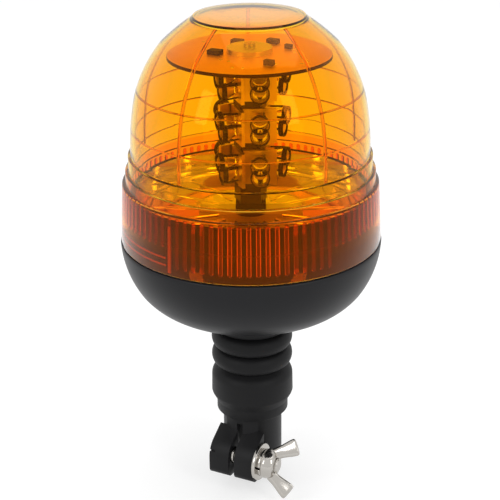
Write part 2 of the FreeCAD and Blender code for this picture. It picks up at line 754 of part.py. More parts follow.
def make_dome():
    """Amber dome: fluted-skirt blank, three ledges, drum, rounded shoulder and a raised disc on top."""
    def level(name):
        return f"seam_level + {name}"

    outer = [
        ("skirt_radius", level("seal_thickness")),
        ("skirt_top_radius", level("skirt_height - ledge_round")),
        ("skirt_top_radius - ledge_round", level("skirt_height"), "ledge_round", 1),
        ("middle_radius", level("skirt_height")),
        ("middle_radius", level("middle_height")),
        ("upper_radius", level("middle_height")),
        ("upper_radius", level("upper_height")),
        ("drum_radius", level("upper_height")),
        ("drum_radius", level("drum_height")),
        ("side_radius", level("side_height"), "side_curve", 1),
        ("crown_radius", level("crown_height"), "crown_curve", 1),
        ("disc_radius", level("disc_foot"), "disc_curve", 1),
        ("disc_radius - disc_step / 2", level("disc_foot + disc_step")),
        ("disc_flat_radius", level("dome_height"), "disc_bow", 1),
        ("0", level("dome_height")),
    ]
    inner = [
        ("0", level("dome_height - dome_wall")),
        ("disc_flat_radius", level("dome_height - dome_wall")),
        ("disc_radius", level("disc_foot - dome_wall + disc_step / 2"), "disc_bow - dome_wall", -1),
        ("crown_radius - dome_wall * sin(50)", level("crown_height - dome_wall * cos(50)"), "disc_curve", -1),
        ("side_radius - dome_wall", level("side_height"), "crown_curve - dome_wall", -1),
        ("drum_radius - dome_wall", level("drum_height"), "side_curve - dome_wall", -1),
        ("drum_radius - dome_wall", level("upper_height - dome_wall / 2")),
        ("upper_radius - dome_wall", level("upper_height - dome_wall / 2")),
        ("upper_radius - dome_wall", level("middle_height - dome_wall / 2")),
        ("middle_radius - dome_wall", level("middle_height - dome_wall / 2")),
        ("middle_radius - dome_wall", level("skirt_height - dome_wall / 2")),
        ("skirt_top_radius - dome_wall", level("skirt_height - dome_wall / 2")),
        ("skirt_top_radius - dome_wall", level("deck_skirt_height + dome_wall / 2")),
        ("deck_skirt_radius + skirt_play", level("deck_skirt_height + dome_wall / 2")),
        ("deck_skirt_radius + skirt_play", level("seal_thickness")),
    ]
    dome = turned("dome_lens", outer + inner)
    skin = "dome_wall * 0.6"
    draw_fin = draw(dome, "fin_profile", [
        (f"drum_radius - {skin}", level("upper_height + dome_wall / 2")),
        (f"drum_radius - {skin}", level("drum_height")),
        (f"side_radius - {skin}", level("side_height"), f"side_curve - {skin}", 1),
        (f"crown_radius - {skin} * sin(50)", level(f"crown_height - {skin} * cos(50)"),
         f"crown_curve - {skin}", 1),
        ("disc_radius + disc_step", level(f"disc_foot - {skin}"), "disc_curve", 1),
        ("disc_radius + disc_step", level("disc_foot - dome_wall - fin_depth")),
        ("crown_radius - (dome_wall + fin_depth) * sin(50)",
         level("crown_height - (dome_wall + fin_depth) * cos(50)"), "disc_curve", -1),
        ("side_radius - dome_wall - fin_depth", level("side_height"),
         "crown_curve - dome_wall - fin_depth", -1),
        ("drum_radius - dome_wall - fin_depth", level("drum_height"),
         "side_curve - dome_wall - fin_depth", -1),
        ("drum_radius - dome_wall - fin_depth", level("upper_height + dome_wall / 2")),
    ])
    fin = dome.newObject("PartDesign::Revolution", "fin")
    fin.Profile = draw_fin
    fin.ReferenceAxis = (draw_fin, ["V_Axis"])
    fin.setExpression("Angle", bound("fin_width / drum_radius * 180 / 3.14159"))
    fin.Midplane = True
    doc.recompute()
    fins = dome.newObject("PartDesign::PolarPattern", "fins")
    fins.Originals = [fin]
    fins.Axis = (draw_fin, ["V_Axis"])
    fins.Angle = 360
    fins.setExpression("Occurrences", bound("face_count"))
    dome.Tip = fins
    dome.setExpression("Placement.Rotation.Angle", bound("fin_heading"))
    node("dome_lens", dome)


def make_tower():
    """LED tower: five-sided core on a bracket, with three tiers of boards, LEDs, holders and lenses."""
    heading = FreeCAD.Rotation(UP, number("face_heading + 90"))
    bar = block("bracket_bar", "bracket_length", "bracket_width", "bracket_thickness",
                ("-bracket_length / 2", "-bracket_width / 2", "deck_top"))
    bracket = copies("tower_bracket", bar, [FreeCAD.Placement(FreeCAD.Vector(), heading)])
    node("tower_bracket", bracket)
    plug = block("plug_block", "plug_width", "plug_width", "plug_height",
                 ("-plug_width / 2", "-plug_width / 2", "core_foot"))
    node("tower_plug", copies("tower_plug", plug, [FreeCAD.Placement(FreeCAD.Vector(), heading)]))
    core = solid("Part::Prism", "core_prism", ("0", "0", "core_foot + plug_height"),
                 FreeCAD.Rotation(UP, number("face_heading + 180 / face_count")),
                 Circumradius="core_radius", Height="top_board_foot - core_foot - plug_height")
    core.Polygon = int(number("face_count"))
    node("tower_core", core)
    for index in range(3):
        make_tier(index)


def make_tier(index):
    """One tier: on each face of the core a board with two LEDs, each behind a lens in a black holder."""
    tier = f"tier_{index + 1}"
    upper = f"(seam_level + tier_top - {index} * tier_pitch)"
    lower = f"({upper} - lens_pitch)"
    middle = f"({upper} - lens_pitch / 2)"
    faces = round_places(int(number("face_count")), number("face_heading"))
    inner = "lens_radius + holder_gap"
    outer = f"{inner} + holder_wall"
    root = "board_face + led_height + holder_gap"

    def tube(part, radius, length, height, start="board_face"):
        return rod(f"{tier}_{part}", radius, length, (start, "board_shift", height), ALONG_X)

    board = block(f"{tier}_board", "board_thickness", "board_width", "led_board_height",
                  ("core_apothem", "board_shift - board_width / 2", f"{middle} - led_board_height / 2"))
    node(f"{tier}_boards", copies(f"{tier}_boards", board, faces))

    chips = [block(f"{tier}_led_{place}", "led_height", "led_size", "led_size",
                   ("board_face", "board_shift - led_size / 2", f"{height} - led_size / 2"))
             for place, height in (("upper", upper), ("lower", lower))]
    node(f"{tier}_leds", copies(f"{tier}_leds", group(f"{tier}_led_pair", chips), faces))

    upper_shell = less(f"{tier}_upper_shell",
                       tube("upper_tube", outer, "holder_length", upper),
                       tube("upper_bore", inner, "2 * holder_length", upper, "board_face - lens_step"))
    lower_shell = less(f"{tier}_lower_shell",
                       tube("lower_tube", outer, "holder_length - holder_lag", lower),
                       tube("lower_bore", inner, "2 * holder_length", lower, "board_face - lens_step"),
                       tube("lower_notch", outer, "2 * holder_length", upper, "board_face - lens_step"))
    holder = fused(f"{tier}_holder", upper_shell, lower_shell)
    node(f"{tier}_holders", copies(f"{tier}_holders", holder, faces))

    lenses = []
    for place, height, front in (("upper", upper, "holder_length"),
                                 ("lower", lower, "(holder_length - holder_lag)")):
        run = f"{front} - led_height - holder_gap - 2 * lens_step"
        taper = cone(f"{tier}_{place}_taper", "lens_root_radius", "lens_radius", run,
                     (root, "board_shift", height), ALONG_X)
        rim = tube(f"{place}_rim", "lens_radius", "lens_step", height,
                   f"board_face + {front} - 2 * lens_step")
        lenses.append(fused(f"{tier}_{place}_lens", taper, rim))
    clear = tube("lens_notch", f"{outer} + holder_gap", "2 * holder_length", upper, "board_face - lens_step")
    lenses[1] = less(f"{tier}_lower_lens_cut", lenses[1], clear)
    node(f"{tier}_lenses", copies(f"{tier}_lenses", group(f"{tier}_lens_pair", lenses), faces))


def make_top():
    """Round board on the core with its small parts, a cap and a screw."""
    top = "seam_level + top_board_level"
    node("top_board", rod("top_disc", "top_board_radius", "board_thickness", ("0", "0", "top_board_foot")))
    node("hub_cap", rod("hub_disc", "hub_cap_radius", "hub_cap_height", ("0", "0", top)))
    node("top_screw", rod("top_screw_head", "screw_head_radius", "screw_head_height",
                          ("0", "0", f"{top} + hub_cap_height")))
    parts = []
    for index, (reach, angle, length) in enumerate(
            [(0.21, 137, 5.6), (0.32, 81, 5.6), (0.2, 218, 6.4), (0.31, 44, 3.4), (0.47, 318, 4.4)], start=1):
        spot = f"(hub_cap_radius + {reach} * (top_board_radius - hub_cap_radius))"
        parts.append(block(f"top_part_{index}", length, length * 0.7, "chip_height",
                           (f"{spot} * cos({angle}) - {length} / 2", f"{spot} * sin({angle}) - {length} * 0.35", top)))
    node("top_parts", group("top_parts", parts))


def write_nodes():
    """Check every object, then write each node's STEP file."""
    doc.recompute()
    for item in doc.Objects:
        if "Invalid" in item.State or "Error" in item.State:
            raise RuntimeError(f"{item.Label}: {item.State}")
    os.makedirs("parts", exist_ok=True)
    for name, item in NODES.items():
        shape = item.Shape
        if shape.isNull() or not shape.isValid():
            raise RuntimeError(f"{name} has no valid shape")
        shape.exportStep(f"parts/{name}.step")
        print(f"{name}: {len(shape.Solids)} solids, {shape.Volume:.1f} mm3")


make_clamp_socket()
make_clamp_screw()
make_wing_nut()
make_contacts()
make_neck()
make_bowl()
make_bowl_fittings()
make_driver()
make_deck()
make_dome()
make_tower()
make_top()
write_nodes()
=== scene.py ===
"""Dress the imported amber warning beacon: clear lens, black bowl, rubber neck, pole clamp, LED tower and studio.

Every length is written in millimetres and turned to metres by MM. The origin is the centre of the pole
socket's mouth, +Z runs up the axis, the clamp's lugs point along -Y and its bolt lies along X. A station is a
radius and a height, and the heights of what stands on the bowl are counted from the seam under the lens.
"""

import json
import logging
import math
from dataclasses import dataclass
from enum import Enum
from typing import Any, Callable, Iterable

import bmesh
import bpy
from mathutils import Matrix, Vector


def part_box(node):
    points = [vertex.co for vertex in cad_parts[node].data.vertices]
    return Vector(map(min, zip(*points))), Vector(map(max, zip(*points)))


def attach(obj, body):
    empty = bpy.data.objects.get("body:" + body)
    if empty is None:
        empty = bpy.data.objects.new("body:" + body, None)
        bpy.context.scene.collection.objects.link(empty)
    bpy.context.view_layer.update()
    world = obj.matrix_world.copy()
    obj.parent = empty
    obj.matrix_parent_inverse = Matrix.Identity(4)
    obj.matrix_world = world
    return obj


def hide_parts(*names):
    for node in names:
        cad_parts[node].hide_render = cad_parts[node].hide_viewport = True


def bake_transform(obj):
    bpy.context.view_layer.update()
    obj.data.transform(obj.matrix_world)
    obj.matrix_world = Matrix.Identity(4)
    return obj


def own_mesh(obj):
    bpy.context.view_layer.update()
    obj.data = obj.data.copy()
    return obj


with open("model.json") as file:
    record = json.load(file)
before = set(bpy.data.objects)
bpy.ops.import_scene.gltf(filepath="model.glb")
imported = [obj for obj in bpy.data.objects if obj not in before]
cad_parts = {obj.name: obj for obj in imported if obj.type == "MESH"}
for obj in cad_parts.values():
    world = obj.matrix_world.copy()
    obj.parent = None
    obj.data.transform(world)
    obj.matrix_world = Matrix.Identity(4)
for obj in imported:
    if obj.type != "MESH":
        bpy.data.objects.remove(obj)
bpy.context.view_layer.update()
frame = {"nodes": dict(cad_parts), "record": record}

MM = 0.001
SEAM = round(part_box("base_bowl")[1][2] / MM, 2)
UPRIGHT_TO_X = Matrix.Rotation(math.radians(90), 4, "Y")
LOG = logging.getLogger("beacon")
Station = tuple[float, float]
Place = tuple[float, float, float]


class Element(Enum):
    """What a selection is made of."""

    VERTEX = "VERT"
    FACE = "FACE"


# --- colour and nodes -------------------------------------------------------------------------


def srgb(code: str) -> tuple[float, float, float, float]:
    """Turn an sRGB hex colour to the linear colour that a shader takes.

    Args:
        code: Six hex digits.

    Returns:
        Linear red, green and blue, and an alpha of 1.
    """
    parts = [int(code[i:i + 2], 16) / 255 for i in (0, 2, 4)]
    red, green, blue = (p / 12.92 if p <= 0.04045 else ((p + 0.055) / 1.055) ** 2.4 for p in parts)
    return (red, green, blue, 1.0)


def feed(item: bpy.types.Node, links: dict[str, bpy.types.NodeSocket]) -> None:
    """Link sockets into a node.

    Args:
        item: The node.
        links: Output sockets by the name, or the number, of the input that each feeds.
    """
    for name, source in links.items():
        item.id_data.links.new(source, item.inputs[int(name) if name.isdigit() else name])


def add_node(tree: bpy.types.NodeTree, kind: str, links: dict[str, bpy.types.NodeSocket] | None = None,
             **settings: Any) -> bpy.types.Node:
    """Add one node with its settings and links.

    Args:
        tree: The tree that it goes into.
        kind: The node's type.
        links: Output sockets by the name of the input that each feeds.
        settings: Properties or input values, with spaces in their names as underscores.

    Returns:
        The new node.
    """
    item = tree.nodes.new(kind)
    for key, value in settings.items():
        name = key.replace("_", " ")
        if name in item.inputs:
            item.inputs[name].default_value = value
        else:
            setattr(item, key, value)
    feed(item, links or {})
    return item


def blank(name: str, **values: Any) -> tuple[bpy.types.Material, bpy.types.NodeTree, bpy.types.Node]:
    """A new material with a shader of even values.

    Args:
        name: The material's name.
        values: The shader's input values, with spaces in their names as underscores.

    Returns:
        The material, its tree and its shader.
    """
    material = bpy.data.materials.new(name)
    material.use_nodes = True
    shader = material.node_tree.nodes["Principled BSDF"]
    for key, value in values.items():
        shader.inputs[key.replace("_", " ")].default_value = value
    return material, material.node_tree, shader


@dataclass(frozen=True)
class Moulding:
    """A moulded plastic or rubber: one colour, the tool's fine grain and small changes of gloss.

    A spark-eroded tool leaves a grain of 0.1 to 0.3 mm. It is drawn two to five times as coarse, so that it shows.

    Attributes:
        name: The material's name.
        colour: Its sRGB hex colour.
        roughness: The mean roughness.
        grain: The distance between the grain's bumps, in millimetres.
        relief: The strength of the grain.
        specular: The shader's specular level, low because the grain scatters what the face would mirror.
        patch_size: The size of the patches of changing gloss, in millimetres.
        grain_height: How high the grain stands, in millimetres.
        shade: The colour of the darkest patches, as a share of the full colour.
    """

    name: str
    colour: str
    roughness: float
    grain: float = 0.6
    relief: float = 0.12
    specular: float = 0.16
    patch_size: float = 22.0
    grain_height: float = 0.05
    shade: float = 0.82

    def make(self) -> bpy.types.Material:
        """Build the material.

        Returns:
            The material.
        """
        material, tree, shader = blank(self.name, Specular_IOR_Level=self.specular)
        full = srgb(self.colour)
        place = add_node(tree, "ShaderNodeTexCoord").outputs["Object"]
        grain = add_node(tree, "ShaderNodeTexNoise", {"Vector": place}, Scale=1 / (self.grain * MM), Detail=2.0)
        patch = add_node(tree, "ShaderNodeTexNoise", {"Vector": place}, Scale=1 / (self.patch_size * MM), Detail=3.0)
        rough = add_node(tree, "ShaderNodeMapRange", {"Value": patch.outputs["Fac"]}, To_Min=self.roughness * 0.88,
                         To_Max=self.roughness * 1.14)
        tint = add_node(tree, "ShaderNodeMix", {"Factor": patch.outputs["Fac"]}, data_type="RGBA")
        tint.inputs[6].default_value = [level * self.shade for level in full[:3]] + [1.0]
        tint.inputs[7].default_value = full
        bump = add_node(tree, "ShaderNodeBump", {"Height": grain.outputs["Fac"]}, Strength=self.relief,
                        Distance=self.grain_height * MM)
        feed(shader, {"Roughness": rough.outputs["Result"], "Base Color": tint.outputs[2],
                      "Normal": bump.outputs["Normal"]})
        return material


@dataclass(frozen=True)
class Plating:
    """A metal face: its reflectance, with the fine scratches and clouding that barrel plating and handling leave.

    Real scratches are under 0.1 mm apart. They are drawn a few times as coarse, so that they break up the gloss.

    Attributes:
        name: The material's name.
        colour: Its sRGB hex reflectance.
        roughness: The mean roughness.
        scratch: The distance between scratches, in millimetres.
        relief: The strength of the scratches.
        stretch: How much longer than wide a scratch is.
        cloud_size: The size of the clouds of changing gloss, in millimetres.
        scratch_depth: How deep the scratches are, in millimetres.
    """

    name: str
    colour: str
    roughness: float
    scratch: float = 0.35
    relief: float = 0.06
    stretch: float = 6.0
    cloud_size: float = 5.0
    scratch_depth: float = 0.03

    def make(self) -> bpy.types.Material:
        """Build the material.

        Returns:
            The material.
        """
        material, tree, shader = blank(self.name, Metallic=1.0, Base_Color=srgb(self.colour))
        place = add_node(tree, "ShaderNodeTexCoord").outputs["Object"]
        along = add_node(tree, "ShaderNodeMapping", {"Vector": place}, Scale=(1.0, self.stretch, 1.0))
        lines = add_node(tree, "ShaderNodeTexNoise", {"Vector": along.outputs["Vector"]},
                         Scale=1 / (self.scratch * self.stretch * MM), Detail=4.0)
        cloud = add_node(tree, "ShaderNodeTexNoise", {"Vector": place}, Scale=1 / (self.cloud_size * MM), Detail=2.0)
        rough = add_node(tree, "ShaderNodeMapRange", {"Value": cloud.outputs["Fac"]}, To_Min=self.roughness * 0.7,
                         To_Max=self.roughness * 1.4)
        bump = add_node(tree, "ShaderNodeBump", {"Height": lines.outputs["Fac"]}, Strength=self.relief,
                        Distance=self.scratch_depth * MM)
        feed(shader, {"Roughness": rough.outputs["Result"], "Normal": bump.outputs["Normal"]})
        return material


@dataclass(frozen=True)
class ClearMoulding:
    """A see-through moulding, tinted in the mass, with the faint waviness of a polished tool.

    Attributes:
        name: The material's name.
        colour: Its sRGB hex tint for one wall.
        ior: The plastic's refractive index.
        roughness: The polish.
        sheen: The sRGB hex tint of what the face mirrors.
        wave: The distance between waves, in millimetres.
        relief: The strength of the waves.
        wave_height: How high they stand, in millimetres.
    """

    name: str
    colour: str
    ior: float
    roughness: float = 0.02
    sheen: str = "FFFFFF"
    wave: float = 9.0
    relief: float = 0.02
    wave_height: float = 0.2

    def make(self) -> bpy.types.Material:
        """Build the material.

        Returns:
            The material.
        """
        material, tree, shader = blank(self.name, Base_Color=srgb(self.colour), Transmission_Weight=1.0, IOR=self.ior,
                                       Specular_Tint=srgb(self.sheen))
        place = add_node(tree, "ShaderNodeTexCoord").outputs["Object"]
        wave = add_node(tree, "ShaderNodeTexNoise", {"Vector": place}, Scale=1 / (self.wave * MM), Detail=1.0)
        rough = add_node(tree, "ShaderNodeMapRange", {"Value": wave.outputs["Fac"]}, To_Min=self.roughness * 0.6,
                         To_Max=self.roughness * 1.4)
        bump = add_node(tree, "ShaderNodeBump", {"Height": wave.outputs["Fac"]}, Strength=self.relief,
                        Distance=self.wave_height * MM)
        feed(shader, {"Roughness": rough.outputs["Result"], "Normal": bump.outputs["Normal"]})
        return material


# --- shaping ----------------------------------------------------------------------------------


def select_only(piece: bpy.types.Object) -> None:
    """Make a piece the only selected one and the active one.

    Args:
        piece: The piece.
    """
    bpy.ops.object.select_all(action="DESELECT")
    bpy.context.view_layer.objects.active = piece
    piece.select_set(True)


def open_mesh(piece: bpy.types.Object, action: str = "DESELECT") -> None:
    """Enter edit mode on a piece.

    Args:
        piece: The piece.
        action: What is done to the selection of its vertices.
    """
    select_only(piece)
    bpy.ops.object.mode_set(mode="EDIT")
    bpy.ops.mesh.select_mode(type="VERT")
    bpy.ops.mesh.select_all(action=action)


def close_mesh() -> None:
    """Leave edit mode."""
    bpy.ops.object.mode_set(mode="OBJECT")


def pick(piece: bpy.types.Object, test: Callable[[Any], bool], what: Element) -> None:
    """Select parts of the mesh in edit mode by a test.

    Args:
        piece: The piece that is in edit mode.
        test: Says whether a vertex or face is taken.
        what: Which of the two is tested.
    """
    bpy.ops.mesh.select_mode(type=what.value)
    bpy.ops.mesh.select_all(action="DESELECT")
    mesh = bmesh.from_edit_mesh(piece.data)
    for item in mesh.verts if what is Element.VERTEX else mesh.faces:
        if test(item):
            item.select_set(True)
    mesh.select_flush_mode()
    bmesh.update_edit_mesh(piece.data)


def apply_modifier(piece: bpy.types.Object, kind: str, **settings: Any) -> None:
    """Add a modifier to a piece and apply it.

    Args:
        piece: The piece.
        kind: The modifier's type.
        settings: Its properties.
    """
    select_only(piece)
    item = piece.modifiers.new(kind.title(), kind)
    for key, value in settings.items():
        setattr(item, key, value)
    bpy.ops.object.modifier_apply(modifier=item.name)


def break_edges(piece: bpy.types.Object, width: float, angle: float, segments: int = 2, **settings: Any) -> None:
    """Round a piece's sharp edges.

    Args:
        piece: The piece.
        width: The width of the broken edge, in millimetres.
        angle: The angle in degrees above which an edge is broken.
        segments: Faces across the broken edge.
        settings: Other properties of the modifier.
    """
    apply_modifier(piece, "BEVEL", width=width * MM, segments=segments, limit_method="ANGLE",
                   angle_limit=math.radians(angle), **settings)


def settle(piece: bpy.types.Object, angle: float = 32.0, mend: bool = True) -> bpy.types.Object:
    """Finish a mesh: merge doubles, point its faces out, bring its place into the mesh and shade it.

    Args:
        piece: The piece.
        angle: The angle in degrees above which an edge stays sharp.
        mend: Whether doubles are merged and normals recalculated.

    Returns:
        The same piece.
    """
    open_mesh(piece, "SELECT")
    if mend:
        bpy.ops.mesh.remove_doubles(threshold=0.002 * MM)
        bpy.ops.mesh.normals_make_consistent(inside=False)
    close_mesh()
    bpy.ops.object.transform_apply(location=True, rotation=True, scale=True)
    bpy.ops.object.shade_smooth_by_angle(angle=math.radians(angle))
    return piece


def lifted(stations: Iterable[Station], level: float = SEAM) -> list[Station]:
    """The same stations with their heights counted from the origin instead of from a level."""
    return [(radius, level + height) for radius, height in stations]


def bow(start: Station, end: Station, radius: float, side: int, steps: int) -> list[Station]:
    """Stations along an arc between two stations, without its start.

    Args:
        start: The first station.
        end: The last station.
        radius: The arc's radius.
        side: +1 where the arc bows to the right of its run, -1 to the left.
        steps: How many stations to give.

    Returns:
        The stations, the last one being the end.
    """
    a, b = Vector(start), Vector(end)
    chord = b - a
    across = Vector((chord.y, -chord.x)).normalized()
    rise = math.sqrt(max(radius ** 2 - (chord.length / 2) ** 2, 0.0))
    centre = (a + b) / 2 - across * rise * side
    first, last = a - centre, b - centre
    sweep = math.atan2(first.x * last.y - first.y * last.x, first.dot(last))
    found = []
    for step in range(1, steps + 1):
        turn = sweep * step / steps
        spoke = Vector((first.x * math.cos(turn) - first.y * math.sin(turn),
                        first.x * math.sin(turn) + first.y * math.cos(turn)))
        found.append((centre.x + spoke.x, centre.y + spoke.y))
    return found


def turned(name: str, stations: Iterable[Station], segments: int, capped: bool = False) -> bpy.types.Object:
    """Turn a form about Z: a circle is extruded and scaled from station to station.

    Args:
        name: The piece's name.
        stations: Radii and heights. The first radius isn't zero.
        segments: Vertices round the circle.
        capped: Whether open ends are filled.

    Returns:
        The new piece, open where the stations leave it open.
    """
    places = list(stations)
    bpy.ops.object.select_all(action="DESELECT")
    bpy.ops.mesh.primitive_circle_add(vertices=segments, radius=places[0][0] * MM)
    piece = bpy.context.object
    piece.name = name
    open_mesh(piece, "SELECT")
    bpy.ops.transform.translate(value=(0, 0, places[0][1] * MM))
    for (near, low), (far, high) in zip(places, places[1:]):
        bpy.ops.mesh.extrude_region_move(TRANSFORM_OT_translate={"value": (0, 0, (high - low) * MM)})
        scale = far / near
        bpy.ops.transform.resize(value=(scale, scale, 1), center_override=(0, 0, high * MM))
    bpy.ops.mesh.select_all(action="SELECT")
    bpy.ops.mesh.remove_doubles(threshold=0.002 * MM)
    if capped:
        bpy.ops.mesh.fill_holes(sides=segments + 1)
    bpy.ops.mesh.normals_make_consistent(inside=False)
    close_mesh()
    return piece


def drawn_out(name: str, size: Station, place: Place, steps: Iterable[tuple[Place, Station]]) -> bpy.types.Object:
    """Draw a bar out of a level rectangle, stage by stage.

    Args:
        name: The piece's name.
        size: The rectangle's sides along X and Y.
        place: The rectangle's middle.
        steps: For each stage, the way that the end moves and the sides that it then takes.

    Returns:
        The new piece.
    """
    bpy.ops.object.select_all(action="DESELECT")
    bpy.ops.mesh.primitive_plane_add(size=1.0)
    piece = bpy.context.object
    piece.name = name
    open_mesh(piece, "SELECT")
    bpy.ops.transform.resize(value=(size[0] * MM, size[1] * MM, 1))
    middle = Vector(place) * MM
    bpy.ops.transform.translate(value=middle)
    for way, end in steps:
        bpy.ops.mesh.extrude_region_move(TRANSFORM_OT_translate={"value": Vector(way) * MM})
        middle += Vector(way) * MM
        if end != size:
            bpy.ops.transform.resize(value=(end[0] / size[0], end[1] / size[1], 1), center_override=middle)
        size = end
    close_mesh()
    return piece


def move_mesh(piece: bpy.types.Object, matrix: Matrix) -> bpy.types.Object:
    """Turn or move a piece in its mesh.

    Args:
        piece: The piece.
        matrix: The turn and the move.

    Returns:
        The same piece.
    """
    piece.data.transform(matrix)
    piece.data.update()
    return piece


def moved(x: float, y: float, z: float) -> Matrix:
    """A move in millimetres."""
    return Matrix.Translation((x * MM, y * MM, z * MM))


def spun(angle: float) -> Matrix:
    """A turn about Z, in degrees."""
    return Matrix.Rotation(math.radians(angle), 4, "Z")


def joined(name: str, pieces: list[bpy.types.Object]) -> bpy.types.Object:
    """Join pieces into the first one.

    Args:
        name: The joined piece's name.
        pieces: The pieces.

    Returns:
        The joined piece.
    """
    bpy.ops.object.select_all(action="DESELECT")
    for item in pieces:
        item.select_set(True)
    bpy.context.view_layer.objects.active = pieces[0]
    bpy.ops.object.join()
    pieces[0].name = name
    return pieces[0]


def copy_round(piece: bpy.types.Object, name: str, matrices: Iterable[Matrix]) -> bpy.types.Object:
    """Copy a modelled piece to several places, each with its own mesh, and join the copies.

    Args:
        piece: The piece that is copied. It stays, for more copies.
        name: The joined piece's name.
        matrices: One place for each copy.

    Returns:
        The joined piece.
    """
    made = []
    for matrix in matrices:
        item = piece.copy()
        item.data = piece.data.copy()
        item.data.transform(matrix)
        bpy.context.scene.collection.objects.link(item)
        made.append(item)
    return joined(name, made)


def copied_out(piece: bpy.types.Object, name: str, matrices: Iterable[Matrix]) -> bpy.types.Object:
    """Copy a piece to several places and remove the first one.

    Args:
        piece: The piece that is copied.
        name: The joined piece's name.
        matrices: One place for each copy.

    Returns:
        The joined piece.
    """
    made = copy_round(piece, name, matrices)
    bpy.data.objects.remove(piece)
    return made


def dress(piece: bpy.types.Object, *materials: bpy.types.Material) -> None:
    """Give a piece its materials.

    Args:
        piece: The piece.
        materials: Its materials, the first of them for every face that isn't marked.
    """
    piece.data.materials.clear()
    for material in materials:
        piece.data.materials.append(material)


def mark_faces(piece: bpy.types.Object, test: Callable[[bpy.types.MeshPolygon], bool]) -> None:
    """Give a piece's second material to some faces.

    Args:
        piece: The piece.
        test: Says whether a face takes it.
    """
    for face in piece.data.polygons:
        if test(face):
            face.material_index = 1


def softened(node: str, name: str, width: float, segments: int = 2) -> bpy.types.Object:
    """A copy of a CAD node with its sharp edges broken.

    Args:
        node: The CAD node.
        name: The new piece's name.
        width: The width of the broken edge, in millimetres.
        segments: Faces across the broken edge.

    Returns:
        The new piece, which replaces the node.
    """
    piece = bpy.data.objects.new(name, frame["nodes"][node].data.copy())
    bpy.context.scene.collection.objects.link(piece)
    open_mesh(piece, "SELECT")
    bpy.ops.mesh.remove_doubles(threshold=0.004 * MM)
    bpy.ops.mesh.dissolve_limited(angle_limit=math.radians(1.0))
    close_mesh()
    break_edges(piece, width, 35, segments, miter_outer="MITER_ARC", use_clamp_overlap=True)
    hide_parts(node)
    return piece


# --- the lens ---------------------------------------------------------------------------------


